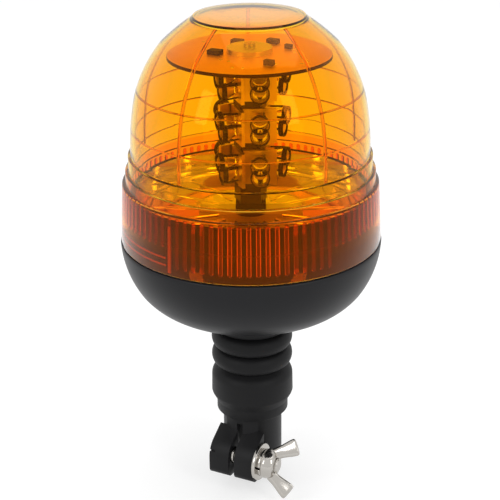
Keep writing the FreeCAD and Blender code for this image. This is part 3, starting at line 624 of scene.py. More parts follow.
@dataclass
class AmberLens:
    """The amber lens: a stepped shell with flutes in its skirt, ribs inside and a raised disc on top.

    Attributes:
        wall: The shell's thickness.
        skirt: Stations up the skirt's outer face.
        lip: The station where the skirt's round lip meets the first ledge.
        ledges: Stations of the top edges of the two bands and the drum over the skirt, each set in from the last.
        ledge_drop: How far a ledge lies lower inside than outside.
        side: The station where the drum's bow ends.
        side_bow: The radius of that bow.
        crown: The station where the shoulder's bow ends.
        crown_bow: The radius of that bow.
        crown_slope: The wall's slope there, in degrees.
        disc: The station at the foot of the raised disc.
        disc_bow: The radius of the bow from the shoulder to the disc.
        disc_edge: The station where the disc's face starts.
        disc_flat: The station where the disc's face levels out.
        panes: The number of panes between the meridian ribs.
        flute_count: The number of flutes round the skirt.
        flute_width: A flute's width.
        flute_depth: How far a flute stands in.
        flute_slope: How far its sides run in from foot to crest.
        flute_feet: Heights of the lower ends of long and short flutes.
        flute_top: Height of the flutes' upper ends.
        windows: The panes that have short flutes over a plain window.
        fin_heading: The heading of the first meridian rib, in degrees.
        fin_width: A meridian rib's width.
        fin_depth: How far it stands in.
        fin_foot: Height of its lower end.
        hoop_places: The station of each level rib's middle.
        hoop_half: Half a level rib's height.
        hoop_depth: How far it stands in.
        ramp_levels: Heights of the two level bars in the side window.
        ramp_radius: The radius of their middle.
        ramp_sweep: How far round they run, in degrees.
        ramp_heading: The heading where they start, in degrees.
        stop_heading: The heading of the end stop, in degrees.
        thick_below: The height under which walls, flutes and ledges lie over one another.
    """

    wall: float = 2.0
    skirt: tuple[Station, Station, Station] = ((63.9, 0.6), (63.3, 13.0), (62.4, 28.9))
    lip: Station = (61.2, 30.1)
    ledges: tuple[Station, Station, Station] = ((60.6, 35.6), (59.0, 43.3), (57.7, 46.5))
    ledge_drop: float = 1.1
    side: Station = (54.9, 72.0)
    side_bow: float = 125.0
    crown: Station = (42.2, 96.5)
    crown_bow: float = 65.0
    crown_slope: float = 40.0
    disc: Station = (27.5, 108.5)
    disc_bow: float = 110.0
    disc_edge: Station = (26.2, 109.75)
    disc_flat: Station = (19.0, 110.7)
    panes: int = 5
    flute_count: int = 90
    flute_width: float = 2.2
    flute_depth: float = 0.45
    flute_slope: float = 0.375
    flute_feet: Station = (4.0, 13.0)
    flute_top: float = 28.4
    windows: tuple[int, int] = (1, 4)
    fin_heading: float = -98.5
    fin_width: float = 1.7
    fin_depth: float = 0.9
    fin_foot: float = 42.0
    hoop_places: tuple[Station, Station] = ((52.2, 74.6), (55.1, 56.2))
    hoop_half: float = 0.45
    hoop_depth: float = 0.7
    ramp_levels: Station = (4.8, 8.3)
    ramp_radius: float = 61.5
    ramp_sweep: float = 52.0
    ramp_heading: float = -102.5
    stop_heading: float = -100.5
    thick_below: float = 35.5

    def edges(self, inset: float, drop: float) -> list[Station]:
        """The two corners of each ledge, from the skirt's top to the drum's foot.

        Args:
            inset: How far they lie inside the outer face.
            drop: How far they lie under the outer ledges.

        Returns:
            Their stations.
        """
        run = []
        level = self.lip[1]
        for radius, top in self.ledges:
            run += [(radius - inset, level - drop), (radius - inset, top - drop)]
            level = top
        return run

    def outside(self) -> list[Station]:
        """Stations of the outer face, from the skirt's foot to the middle of the disc.

        Returns:
            The stations.
        """
        run = [*self.skirt, *bow(self.skirt[-1], self.lip, 1.2, 1, 4), *self.edges(0.0, 0.0)]
        run += bow(self.ledges[-1], self.side, self.side_bow, 1, 12)
        run += bow(self.side, self.crown, self.crown_bow, 1, 16)
        run += bow(self.crown, self.disc, self.disc_bow, 1, 10)
        run += [(self.disc_edge[0] + 0.9, self.disc_edge[1] - 0.75), self.disc_edge]
        run += bow(self.disc_edge, self.disc_flat, 60.0, 1, 4)
        return lifted(run + [(8.0, self.disc_flat[1] + 0.02), (0.0, self.disc_flat[1] + 0.02)])

    def inside(self) -> list[Station]:
        """Stations of the inner face, from the skirt's foot to the middle of the disc.

        Returns:
            The stations.
        """
        w = self.wall
        slope = math.radians(self.crown_slope)
        side = (self.side[0] - w, self.side[1])
        crown = (self.crown[0] - w * math.cos(slope), self.crown[1] - w * math.sin(slope))
        disc = (self.disc[0] - 0.5, self.disc[1] + 0.4 - w)
        top = self.disc_flat[1] - w
        run = [(radius - w, height) for radius, height in self.skirt[:2]]
        run += [(self.skirt[2][0] - w, self.lip[1] - self.ledge_drop), *self.edges(w, self.ledge_drop)[:-1]]
        run += [(self.ledges[-1][0] - w, self.ledges[-1][1])]
        run += bow(run[-1], side, self.side_bow - w, 1, 12)
        run += bow(side, crown, self.crown_bow - w, 1, 16)
        run += bow(crown, disc, self.disc_bow - w, 1, 10)
        run += [(disc[0] - 0.9, disc[1] + 0.6), (disc[0] - 1.8, disc[1] + 0.95)]
        return lifted(run + [(self.disc_flat[0], top), (8.0, top), (0.0, top)])

    def shell(self) -> bpy.types.Object:
        """The shell, turned in one run down the inner face and up the outer one.

        Returns:
            The shell.
        """
        shell = turned("lens_shell", [*reversed(self.inside()[:-1]), *self.outside()], 240, capped=True)
        break_edges(shell, 0.25, 40)
        return settle(shell, 28)

    def flute(self, foot: float) -> bpy.types.Object:
        """One flute: a round-ended bead with sloping sides, standing in from the wall at heading -90.

        Args:
            foot: Height of its lower end above the seam.

        Returns:
            The bead.
        """
        half = self.flute_width / 2
        length = self.flute_top - foot
        bpy.ops.object.select_all(action="DESELECT")
        bpy.ops.mesh.primitive_circle_add(vertices=20, radius=half * MM, fill_type="NGON")
        bead = bpy.context.object
        open_mesh(bead)
        pick(bead, lambda vertex: vertex.co.y > 0.01 * MM, Element.VERTEX)
        bpy.ops.transform.translate(value=(0, (length - self.flute_width) * MM, 0))
        pick(bead, lambda face: True, Element.FACE)
        bpy.ops.mesh.extrude_region_move(TRANSFORM_OT_translate={"value": (0, 0, -self.flute_depth * MM)})
        crest = (1 - 2 * self.flute_slope / self.flute_width, 1 - 2 * self.flute_slope / length, 1)
        bpy.ops.transform.resize(value=crest, center_override=(0, (length / 2 - half) * MM, 0))
        close_mesh()
        draft = math.atan2(self.skirt[0][0] - self.skirt[-1][0], self.skirt[-1][1] - self.skirt[0][1])
        reach = self.skirt[0][0] - self.wall + 0.08 - (foot + half) * math.tan(draft)
        stand = Matrix.Rotation(math.radians(90) - draft, 4, "X")
        return move_mesh(bead, moved(0, -reach, SEAM + foot + half) @ stand)

    def flutes(self) -> bpy.types.Object:
        """All flutes: long ones in the front and back panes, short ones over the side windows.

        Returns:
            The flutes.
        """
        long_places, short_places = [], []
        for index in range(self.flute_count):
            turn = 360 / self.flute_count * (index + 0.5)
            over_window = int(turn // (360 / self.panes)) in self.windows
            (short_places if over_window else long_places).append(spun(self.fin_heading + turn + 90))
        rows = [copied_out(self.flute(foot), "row", places)
                for foot, places in zip(self.flute_feet, (long_places, short_places))]
        return settle(joined("lens_flutes", rows), 25)

    def bar(self, name: str, path: list[Station], width: float, depth: float) -> bpy.types.Object:
        """A bar that stands in from the wall and follows a path, at heading 0.

        Args:
            name: The bar's name.
            path: Stations along its outer face.
            width: Its width round the wall.
            depth: How far it stands in.

        Returns:
            The bar.
        """
        size = (depth, width)
        steps = [((far - near, 0, high - low), size) for (near, low), (far, high) in zip(path, path[1:])]
        return drawn_out(name, size, (path[0][0] - depth / 2, 0, path[0][1]), steps)

    def fins(self) -> bpy.types.Object:
        """Five meridian ribs inside the shell, from the drum's foot to the disc, sunk a little in the wall.

        Returns:
            The ribs.
        """
        path = [(radius + 0.15, height) for radius, height in self.inside()
                if radius > self.disc_edge[0] - 0.2 and height >= SEAM + self.fin_foot]
        fin = self.bar("fin", path, self.fin_width, self.fin_depth)
        break_edges(fin, 0.3, 50)
        turns = [spun(self.fin_heading + 360 / self.panes * index) for index in range(self.panes)]
        return settle(copied_out(fin, "lens_fins", turns))

    def hoops(self) -> bpy.types.Object:
        """Two level ribs inside the drum.

        Returns:
            The ribs.
        """
        made = []
        for radius, height in self.hoop_places:
            out, near, w = radius + 0.2, radius + 0.2 - self.hoop_depth, self.hoop_half
            run = [(out, -w), (near, -w * 0.4), (near, w * 0.4), (out, w), (out, -w)]
            made.append(turned("hoop", lifted(run, SEAM + height), 180))
        return settle(joined("lens_hoops", made))

    def lock_ramp(self) -> bpy.types.Object:
        """The two level bars and the end stop inside the side window.

        Returns:
            The bars with the stop.
        """
        low, high = self.ramp_levels
        bar = drawn_out("ramp_bar", (0.6, 0.8), (0, 0, 0), [])
        open_mesh(bar, "SELECT")
        bpy.ops.transform.rotate(value=math.radians(90), orient_axis="X", center_override=(0, 0, 0))
        bpy.ops.transform.translate(value=(self.ramp_radius * MM, 0, (SEAM + low) * MM))
        bpy.ops.mesh.spin(steps=28, angle=math.radians(self.ramp_sweep), center=(0, 0, 0), axis=(0, 0, 1))
        close_mesh()
        turn = spun(self.ramp_heading)
        bars = copied_out(bar, "ramp_bars", [turn, moved(0, 0, high - low) @ turn])
        stop = self.bar("stop", lifted([(61.9, 1.6), (61.0, 24.0)]), 1.6, 0.7)
        return settle(joined("lens_lock_ramp", [bars, move_mesh(stop, spun(self.stop_heading))]))

    def build(self) -> list[bpy.types.Object]:
        """Build the lens's pieces and dress them.

        Returns:
            The pieces.
        """
        # Amber polycarbonate, injection-moulded in a polished tool: clear, glossy and orange-yellow through one wall.
        # Its index is set under the plastic's usual 1.58, so that the walls mirror as little white as the real ones.
        clear = ClearMoulding("amber polycarbonate, polished", "FFCB26", ior=1.5, sheen="FF9A2A").make()
        # The same moulding where wall, flutes and ledges lie over one another: a deeper orange.
        thick = ClearMoulding("amber polycarbonate, thick skirt", "FF9C1E", ior=1.54, sheen="FF9A2A").make()
        # Opaque red-orange on the lock bars and the stop: painted glow for the light their edges gather from the wall.
        bright = Moulding("amber polycarbonate, painted edge glow", "DE5A1C", 0.3, grain=2.0, relief=0.02).make()
        shell, flutes, fins, hoops, ramp = self.shell(), self.flutes(), self.fins(), self.hoops(), self.lock_ramp()
        dress(shell, clear, thick)
        mark_faces(shell, lambda face: face.center.z < (SEAM + self.thick_below) * MM)
        dress(flutes, thick)
        dress(fins, clear)
        dress(hoops, clear)
        # The bars and the stop take the painted red-orange glow instead of clear plastic.
        dress(ramp, bright)
        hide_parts("dome_lens")
        pieces = [shell, flutes, fins, hoops, ramp]
        for piece in pieces:
            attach(piece, "head")
        return pieces


# --- the bowl and the neck --------------------------------------------------------------------


@dataclass
class Bowl:
    """The black bowl under the lens.

    Attributes:
        outer: Stations up the outer face: floor hole, foot, heel, shoulder and seam.
        outer_bows: Radii of the arcs between the last four of them, and the stations on each.
        inner: Stations down the inner face: rim, rim's foot, shoulder, heel, foot and floor hole.
        inner_bows: Radii of the arcs from the rim's foot to the heel, and the stations on each.
    """

    outer: tuple[Station, ...] = ((16.6, -38.7), (21.0, -38.75), (41.5, -35.4), (56.6, -24.0), (64.2, -0.5))
    outer_bows: tuple[tuple[float, int], ...] = ((58.0, 8), (32.5, 12), (46.0, 14))
    inner: tuple[Station, ...] = ((58.8, 0.0), (58.8, -5.0), (54.3, -22.6), (40.4, -33.0), (26.0, -36.1),
                                  (16.6, -36.1))
    inner_bows: tuple[tuple[float, int], ...] = ((43.4, 10), (29.9, 8))

    def build(self) -> list[bpy.types.Object]:
        """Turn the bowl with its floor hole and its rim.

        Returns:
            The pieces.
        """
        run = list(self.outer[:2])
        for (radius, steps), start, end in zip(self.outer_bows, self.outer[1:], self.outer[2:]):
            run += bow(start, end, radius, 1, steps)
        run += [(self.outer[-1][0] - 0.2, 0.0), *self.inner[:2]]
        for (radius, steps), start, end in zip(self.inner_bows, self.inner[1:], self.inner[2:]):
            run += bow(start, end, radius, -1, steps)
        bowl = turned("bowl_shell", lifted([*run, *self.inner[-2:], self.outer[0]]), 240)
        break_edges(bowl, 0.3, 40)
        settle(bowl, 28)
        # Injection-moulded ABS from a spark-eroded tool: near black, with a soft satin sheen.
        dress(bowl, Moulding("black ABS, satin moulded", "232325", 0.36, grain=0.7, relief=0.25).make())
        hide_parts("base_bowl")
        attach(bowl, "head")
        return [bowl]


@dataclass
class RubberNeck:
    """The moulded rubber neck, in two halves that meet at the middle rib.

    Attributes:
        rib_radius: The ribs' radius.
        rib_half: Half a rib's height.
        groove_radius: The radius between ribs.
        ribs: Heights of the ribs' middles above the socket's mouth.
        grooves: Heights of the groove under the first rib, of the two that bend and of the one over the last rib.
        bore: The radius of the bore for the leads.
        collar_bore: The radius round the socket, in the collar and the barrel.
        head_bore: The radius round the socket's head, in the barrel.
        barrel: Stations up the outside of collar and barrel.
        barrel_top: The station where the bow over the barrel ends.
        throat: Stations from the last groove through the bowl's hole to the flange inside the bowl.
    """

    rib_radius: float = 20.6
    rib_half: float = 4.6
    groove_radius: float = 16.2
    ribs: tuple[float, float, float] = (62.0, 72.0, 82.0)
    grooves: tuple[float, float, float, float] = (56.6, 67.0, 77.0, 86.2)
    bore: float = 9.5
    collar_bore: Station = (15.4, 47.7)
    head_bore: Station = (17.3, 54.0)
    barrel: tuple[Station, ...] = ((15.4, 31.0), (17.9, 31.0), (18.3, 31.5), (18.3, 36.0), (18.5, 36.8), (20.6, 40.6),
                                   (20.9, 41.6), (20.75, 50.4))
    barrel_top: Station = (17.6, 55.4)
    throat: tuple[Station, ...] = ((19.0, 86.8), (19.2, 88.2), (16.4, 88.25), (16.4, 90.9), (21.5, 90.9),
                                   (21.5, 93.9), (9.5, 93.9))

    def rib(self, middle: float, low: bool = True, high: bool = True) -> list[Station]:
        """Stations of a rib, from its lower groove to its upper one.

        Args:
            middle: Height of the rib's middle.
            low: Whether its lower half is given.
            high: Whether its upper half is given.

        Returns:
            The stations.
        """
        root = self.groove_radius + 1.2
        run = []
        for degrees in range(-84 if low else 0, 85 if high else 1, 12):
            turn = math.radians(degrees)
            run.append((root + (self.rib_radius - root) * math.cos(turn), middle + self.rib_half * math.sin(turn)))
        return run

    def groove(self, index: int) -> Station:
        """The station at the root of a groove."""
        return self.groove_radius, self.grooves[index]

    def lower(self) -> bpy.types.Object:
        """Collar, barrel, first rib and the lower half of the middle one.

        Returns:
            The lower half.
        """
        run = [*self.barrel, *bow(self.barrel[-1], self.barrel_top, 5.5, 1, 8), self.groove(0)]
        run += [*self.rib(self.ribs[0]), self.groove(1), *self.rib(self.ribs[1], high=False)]
        run += [(self.bore, self.ribs[1]), (self.bore, self.head_bore[1]), self.head_bore,
                (self.head_bore[0], self.collar_bore[1]), self.collar_bore, self.barrel[0]]
        return settle(turned("neck_lower", run, 144), 40)

    def upper(self) -> bpy.types.Object:
        """The upper half of the middle rib, the last rib, the throat and the flange inside the bowl.

        Returns:
            The upper half.
        """
        start = (self.bore, self.ribs[1])
        run = [start, *self.rib(self.ribs[1], low=False), self.groove(2), *self.rib(self.ribs[2]), self.groove(3)]
        return settle(turned("neck_upper", [*run, *self.throat, start], 144), 40)

    def build(self) -> list[bpy.types.Object]:
        """Build and dress both halves.

        Returns:
            The pieces.
        """
        # Compression-moulded rubber: black, dull and a little dusty, so that its folds show soft edges.
        rubber = Moulding("black rubber, moulded", "1D1D1E", 0.5, grain=0.9, relief=0.3, specular=0.15).make()
        lower, upper = self.lower(), self.upper()
        for piece in (lower, upper):
            dress(piece, rubber)
        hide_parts("flexible_neck")
        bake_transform(lower)
        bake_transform(upper)
        return [lower, upper]


@dataclass
class Leads:
    """The two sleeved leads through the neck, in two halves.

    Attributes:
        radius: A lead's radius.
        tip: The radius of the cut conductor at its ends.
        step: The distance between stations, short enough to bend.
        terminal_step: How much higher the outer lead starts than the other one.
        middle: Height of the neck's middle, where the halves meet.
    """

    radius: float = 1.1
    tip: float = 0.2
    step: float = 1.5
    terminal_step: float = 1.2
    middle: float = 72.0

    def lead(self, x: float, y: float, low: float, high: float) -> bpy.types.Object:
        """A stretch of one lead.

        Args:
            x: Where it stands along X.
            y: Where it stands along Y.
            low: Height of its foot.
            high: Height of its top.

        Returns:
            The stretch.
        """
        steps = max(2, round((high - low) / self.step))
        wall = [(self.radius, low + (high - low) * index / steps) for index in range(steps + 1)]
        run = [(self.tip, low), *wall, (self.tip, high)]
        return move_mesh(turned("lead", run, 16, capped=True), moved(x, y, 0))

    def build(self) -> list[bpy.types.Object]:
        """Build and dress the leads.

        Returns:
            The pieces.
        """
        low, high = (Vector(corner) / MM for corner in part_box("supply_wires"))
        places = ((low.x + self.radius, 0.0, low.z + self.terminal_step), (0.0, high.y - self.radius, low.z))
        lower = settle(joined("leads_lower", [self.lead(x, y, foot, self.middle) for x, y, foot in places]), 40)
        upper = settle(joined("leads_upper", [self.lead(x, y, self.middle, high.z) for x, y, _ in places]), 40)
        # Extruded PVC: dark red, smooth and slightly shiny.
        sleeve = Moulding("PVC sleeve", "7A1410", 0.35).make()
        for piece in (lower, upper):
            dress(piece, sleeve)
        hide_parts("supply_wires")
        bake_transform(lower)
        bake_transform(upper)
        return [lower, upper]


@dataclass
class ContactSpring:
    """The coil spring that holds the socket's centre contact down.

    Attributes:
        wire: The wire's diameter.
        turns: Its turns.
        travel: How far the contact pin presses it. Not used.
    """

    wire: float = 0.6
    turns: int = 3
    travel: float = 3.0

    def build(self) -> list[bpy.types.Object]:
        """Screw the spring from a ring of its wire.

        Returns:
            The pieces.
        """
        low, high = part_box("contact_spring")
        half = self.wire / 2 * MM
        tall = high[2] - low[2]
        bpy.ops.object.select_all(action="DESELECT")
        bpy.ops.mesh.primitive_circle_add(vertices=10, radius=half)
        spring = bpy.context.object
        spring.name = "spring_body"
        coil = (high[0] - low[0]) / 2 - half
        move_mesh(spring, Matrix.Translation((coil, 0, low[2] + half)) @ Matrix.Rotation(math.radians(90), 4, "X"))
        apply_modifier(spring, "SCREW", axis="Z", angle=math.radians(360 * self.turns), steps=90, render_steps=90,
                       screw_offset=tall - 2 * half)
        open_mesh(spring, "SELECT")
        bpy.ops.mesh.fill_holes(sides=12)
        close_mesh()
        settle(spring, 40)
        # Drawn spring wire: plain bright steel with fine drawing lines.
        dress(spring, Plating("spring wire", "A9A9A6", 0.25).make())
        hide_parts("contact_spring")
        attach(spring, "socket")
        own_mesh(spring)
        return [spring]


# --- the clamp --------------------------------------------------------------------------------


@dataclass
class PoleClamp:
    """The split socket and its M8 screw: bolt, washers and wing nut.

    Attributes:
        wing_root: The wing's width and thickness at the hub.
        wing_stages: For each stage of the wing, how far it rises and the width and thickness that it takes.
        wing_foot: Where the root stands along and across the hub.
        wing_lean: How far a wing leans to the bolt's end, in degrees.
        wing_turn: How far the pair of wings is turned on the bolt, in degrees.
        hub: Stations of the hub, with its bore.
        head: Stations of the bolt's hexagon head with its round chamfer.
        bolt_length: The bolt's length.
        bolt_radius: The shank's radius.
        thread_start: How far from the head's end the thread starts.
        thread_root: The thread's root radius.
        thread_pitch: The thread's pitch.
        pocket_depth: How far in from the head's end the lug's face lies.
        rim: Stations of the rim round the head's pocket, from that face.
    """

    wing_root: Station = (6.6, 5.2)
    wing_stages: tuple[tuple[float, float, float], ...] = (
        (1.8, 6.6, 4.4), (3.0, 6.8, 3.2), (3.2, 8.0, 2.6), (3.6, 9.6, 2.4), (1.9, 9.6, 2.4), (0.7, 8.2, 2.0))
    wing_foot: Station = (3.2, 4.9)
    wing_lean: float = 60.0
    wing_turn: float = 26.0
    hub: tuple[Station, ...] = ((4.1, 0.4), (4.5, 0.0), (7.3, 0.0), (7.7, 0.5), (7.6, 2.2), (6.9, 4.6), (6.3, 5.6),
                                (5.7, 6.0), (5.0, 6.0), (4.6, 5.4), (4.1, 5.2), (4.1, 0.4))
    head: tuple[Station, ...] = ((0.5, 1.6), (5.2, 1.6), (6.2, 2.2), (6.8, 3.0), (6.8, 5.3), (4.0, 5.3))
    bolt_length: float = 38.3
    bolt_radius: float = 4.0
    thread_start: float = 14.0
    thread_root: float = 3.4
    thread_pitch: float = 1.25
    pocket_depth: float = 2.3
    rim: tuple[Station, ...] = ((7.1, 0.5), (7.55, 0.5), (7.55, 3.4), (7.1, 3.4), (7.1, 0.5))

    def lay(self, node: str) -> Matrix:
        """The move from upright at the origin to lying on the bolt's axis, with the foot at a node's near end.

        Args:
            node: The CAD node.

        Returns:
            The move.
        """
        low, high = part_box("flat_washer")
        across, up = ((low[side] + high[side]) / 2 for side in (1, 2))
        return Matrix.Translation((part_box(node)[0][0], across, up)) @ UPRIGHT_TO_X

    def wing(self) -> bpy.types.Object:
        """One wing: a root that is drawn out in stages to a rounded paddle, then leaned forward.

        Returns:
            The wing.
        """
        steps = [((0, 0, rise), (wide, thick)) for rise, wide, thick in self.wing_stages]
        wing = drawn_out("wing", self.wing_root, (0, 0, 0), steps)
        apply_modifier(wing, "SUBSURF", levels=3, render_levels=3)
        along, across = self.wing_foot
        return move_mesh(wing, moved(along, 0, across) @ Matrix.Rotation(math.radians(self.wing_lean), 4, "Y"))

    def wing_nut(self) -> bpy.types.Object:
        """Hub, bore and two wings, laid on the bolt.

        Returns:
            The nut.
        """
        hub = move_mesh(turned("hub", self.hub, 64), UPRIGHT_TO_X)
        wings = copied_out(self.wing(), "wings", [Matrix.Identity(4), Matrix.Rotation(math.pi, 4, "X")])
        nut = move_mesh(joined("nut", [hub, wings]), Matrix.Rotation(math.radians(-self.wing_turn), 4, "X"))
        return settle(move_mesh(nut, self.lay("wing_nut") @ UPRIGHT_TO_X.inverted()), 50)

    def pocket_rim(self) -> bpy.types.Object:
        """The rim round the head's pocket, which closes the corner where the pocket meets the lug's brow."""
        rim = turned("pocket_rim", lifted(self.rim, self.pocket_depth), 6)
        return move_mesh(rim, self.lay("clamp_bolt") @ spun(30))

    def bolt(self) -> bpy.types.Object:
        """Hexagon head with its round chamfer, and a shank whose end is threaded.

        Returns:
            The bolt.
        """
        hexagon = move_mesh(turned("bolt_head", self.head, 6, capped=True), spun(30))
        crest, root, level = self.bolt_radius - 0.05, self.thread_root, self.thread_start
        shank = [(self.bolt_radius, self.head[-1][1] - 0.1), (self.bolt_radius, level)]
        while level < self.bolt_length - 1.6:
            shank += [(crest, level + 0.1), (root, level + 0.6), (root, level + 0.7), (crest, level + 1.2)]
            level += self.thread_pitch
        shank += [(root, self.bolt_length - 0.5), (root - 0.3, self.bolt_length), (0.4, self.bolt_length)]
        bolt = joined("bolt_body", [hexagon, turned("bolt_shank", shank, 48, capped=True)])
        return settle(move_mesh(bolt, self.lay("clamp_bolt")), 35)

    def build(self) -> list[bpy.types.Object]:
        """Build and dress the clamp's pieces.

        Returns:
            The pieces.
        """
        # Injection-moulded nylon with glass fibre: black, its fibres leaving a slightly rough, dry face.
        nylon = Moulding("black glass-filled nylon", "1F1F20", 0.46, grain=0.5, relief=0.35).make()
        # Barrel-plated nickel over steel: bright and warm, with soft clouding from the tumbling.
        nickel = Plating("bright nickel plate", "B7B3AD", 0.14).make()
        body = softened("clamp_socket", "socket_body", 0.9, 3)
        socket = settle(joined("socket_body", [body, self.pocket_rim()]), 35, mend=False)
        nut, bolt = self.wing_nut(), self.bolt()
        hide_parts("wing_nut")
        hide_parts("clamp_bolt")
        flat = settle(softened("flat_washer", "washer_body", 0.3), 35, mend=False)
        lock = settle(softened("lock_washer", "spring_washer_body", 0.3), 35, mend=False)
        dress(socket, nylon)
        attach(socket, "socket")
        for piece, body in ((nut, "wing_nut"), (bolt, "socket"), (flat, "socket"), (lock, "lock_washer")):
            dress(piece, nickel)
            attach(piece, body)
        return [socket, nut, bolt, flat, lock]


# --- the deck ---------------------------------------------------------------------------------


@dataclass
class Deck:
    """The deck under the tower: a dark rim wall and skirt, and a bright floor with low radial ribs.

    Attributes:
        floor: Height of the floor's top.
        thickness: The floor's thickness.
        hole: The radius of the hole for the leads.
        wall: The inner and outer radius of the rim wall.
        rim: Height of the rim wall's top.
        skirt_radius: The radius of the skirt that stands in the bowl's mouth.
        skirt_top: Height of the skirt's top.
        ribs: Number of radial ribs.
        rib_size: A rib's length and width at its foot.
        rib_middle: How far from the axis its middle lies.
        rib_height: Its height, from 0.1 mm under the floor.
        rib_heading: The heading of the first rib, in degrees.
    """

    floor: float = SEAM + 12.5
    thickness: float = 2.5
    hole: float = 8.0
    wall: Station = (56.4, 58.6)
    rim: float = SEAM + 26.0
    skirt_radius: float = 60.5
    skirt_top: float = SEAM + 13.5
    ribs: int = 15
    rib_size: Station = (38.0, 1.6)
    rib_middle: float = 35.0
    rib_height: float = 0.8
    rib_heading: float = 7.0

    def body(self) -> bpy.types.Object:
        """Turn the deck.

        Returns:
            The deck.
        """
        near, far = self.wall
        under = self.floor - self.thickness
        run = [(self.hole, self.floor), (self.hole, under), (far, under), (far, SEAM), (self.skirt_radius, SEAM),
               (self.skirt_radius, self.skirt_top), (far, self.skirt_top), (far, self.rim), (near, self.rim),
               (near, self.floor + 1.2), (near - 1.2, self.floor), (self.hole, self.floor)]
        deck = turned("deck_body", run, 192)
        break_edges(deck, 0.35, 40)
        return settle(deck, 30)

    def floor_ribs(self) -> bpy.types.Object:
        """Low ribs from the middle outwards, tapered to their crests.

        Returns:
            The ribs.
        """
        long, wide = self.rib_size
        crest = ((0, 0, self.rib_height), (long * 0.96, wide * 0.5))
        rib = drawn_out("rib", self.rib_size, (self.rib_middle, 0, self.floor - 0.1), [crest])
        break_edges(rib, 0.2, 30)
        turns = [spun(360 / self.ribs * index + self.rib_heading) for index in range(self.ribs)]
        return settle(copied_out(rib, "deck_ribs", turns), 30)

    def build(self) -> list[bpy.types.Object]:
        """Build and dress the deck.

        Returns:
            The pieces.
        """
        # Injection-moulded ABS from a matt tool: it swallows light, so flutes and ledges look dark in front of it.
        dark = Moulding("black ABS, matt moulded", "171415", 0.65, grain=0.6, relief=0.2, specular=0.08).make()
        # Plastic with aluminium evaporated on in a vacuum: a soft mirror that fills the lens's foot with amber.
        bright = Plating("vacuum-metallised plastic", "E6E2DA", 0.07, scratch=2.0, relief=0.01).make()
        deck, ribs = self.body(), self.floor_ribs()
        dress(deck, dark, bright)
        mark_faces(deck, lambda face: face.center.z > (self.floor - 0.2) * MM
                   and face.center.xy.length < self.wall[0] * MM)
        dress(ribs, bright)
        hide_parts("inner_deck")
        for piece in (deck, ribs):
            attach(piece, "head")
        return [deck, ribs]


# --- the lamp tower ---------------------------------------------------------------------------


@dataclass
class LedTower:
    """The optics of the three tiers: on each face two clear lenses, each in a black collar on three legs.

    Attributes:
        heading: The heading of the first face.
        faces: The number of faces round the core.
        face: Distance from the axis to the boards' front.
        shift: How far each board sits to the side of its face.
        tops: Heights of the upper lenses' axes.
        pitch: Distance between the two lenses' axes.
        reach: How far an upper lens stands out from its board.
        lag: How much shorter a lower lens is.
        radius: A lens's radius.
    """

    heading: float = -63.5
    faces: int = 5
    face: float = 8.3
    shift: float = 4.6
    tops: tuple[float, float, float] = (SEAM + 81.9, SEAM + 61.4, SEAM + 40.9)
    pitch: float = 6.1
    reach: float = 9.6
    lag: float = 1.6
    radius: float = 4.1

    def lens(self, reach: float) -> bpy.types.Object:
        """One lens, turned about Z: a cone that widens from the lamp to a domed front.

        Args:
            reach: How far its front stands out from the board.

        Returns:
            The lens.
        """
        r = self.radius
        run = [(0.4, 1.5), (1.3, 1.1), (1.9, 0.9), (2.3, 1.6), (3.1, reach - 5.0), (3.7, reach - 3.4),
               (r, reach - 2.2), (r, reach - 1.5)]
        return turned("lens", run + bow(run[-1], (0.4, reach + 0.1), 6.0, 1, 8), 40, capped=True)

    def collar(self, reach: float) -> bpy.types.Object:
        """One collar, turned about Z, with its three legs.

        Args:
            reach: How far its front stands out from the board.

        Returns:
            The collar.
        """
        r = self.radius
        run = [(r + 0.05, -2.4), (r + 0.5, -2.4), (r + 0.5, -0.2), (r + 0.35, 0.0), (r + 0.1, 0.0), (r + 0.05, -0.2),
               (r + 0.05, -2.4)]
        ring = turned("collar", lifted(run, reach), 40)
        size = (0.7, 0.9)
        leg = drawn_out("leg", size, (r - 0.35, 0, 0.05), [((0.6, 0, reach - 2.2), size)])
        return joined("collar", [ring, copied_out(leg, "legs", [spun(turn) for turn in (30, 150, 270)])])

    def places(self, height: float) -> list[Matrix]:
        """The places round the core of an optic whose axis is at a height."""
        lay = moved(self.face, self.shift, height) @ UPRIGHT_TO_X
        return [spun(self.heading + 360 / self.faces * index) @ lay for index in range(self.faces)]

    def build(self) -> list[bpy.types.Object]:
        """Build the optics of each tier.

        Returns:
            The pieces.
        """
        # Injection-moulded acrylic, optically polished: clear and sharp, so that the lamps glint through it.
        glass = ClearMoulding("clear acrylic lens", "FFF6EA", ior=1.49).make()
        # Moulded polycarbonate: black and fairly glossy, which draws a dark ring round each lens.
        black = Moulding("black polycarbonate holder", "141416", 0.3, grain=0.5, relief=0.1).make()
        drops = {0.0: self.reach, self.pitch: self.reach - self.lag}
        kinds = (("optics", {drop: self.lens(reach) for drop, reach in drops.items()}, 40, glass, "lenses",
                  "clear_optic"),
                 ("collars", {drop: self.collar(reach) for drop, reach in drops.items()}, 35, black, "holders",
                  "holder_plastic"))
        made = []
        for tier, top in enumerate(self.tops, start=1):
            for kind, models, angle, material, node, slot in kinds:
                rows = [copy_round(model, "row", self.places(top - drop)) for drop, model in models.items()]
                piece = settle(joined(f"tier_{tier}_{kind}", rows), angle)
                dress(piece, material)
                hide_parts(f"tier_{tier}_{node}")
                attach(piece, "head")
                made.append(piece)
        for _, models, *_ in kinds:
            for model in models.values():
                bpy.data.objects.remove(model)
        return made


# --- the top board ----------------------------------------------------------------------------


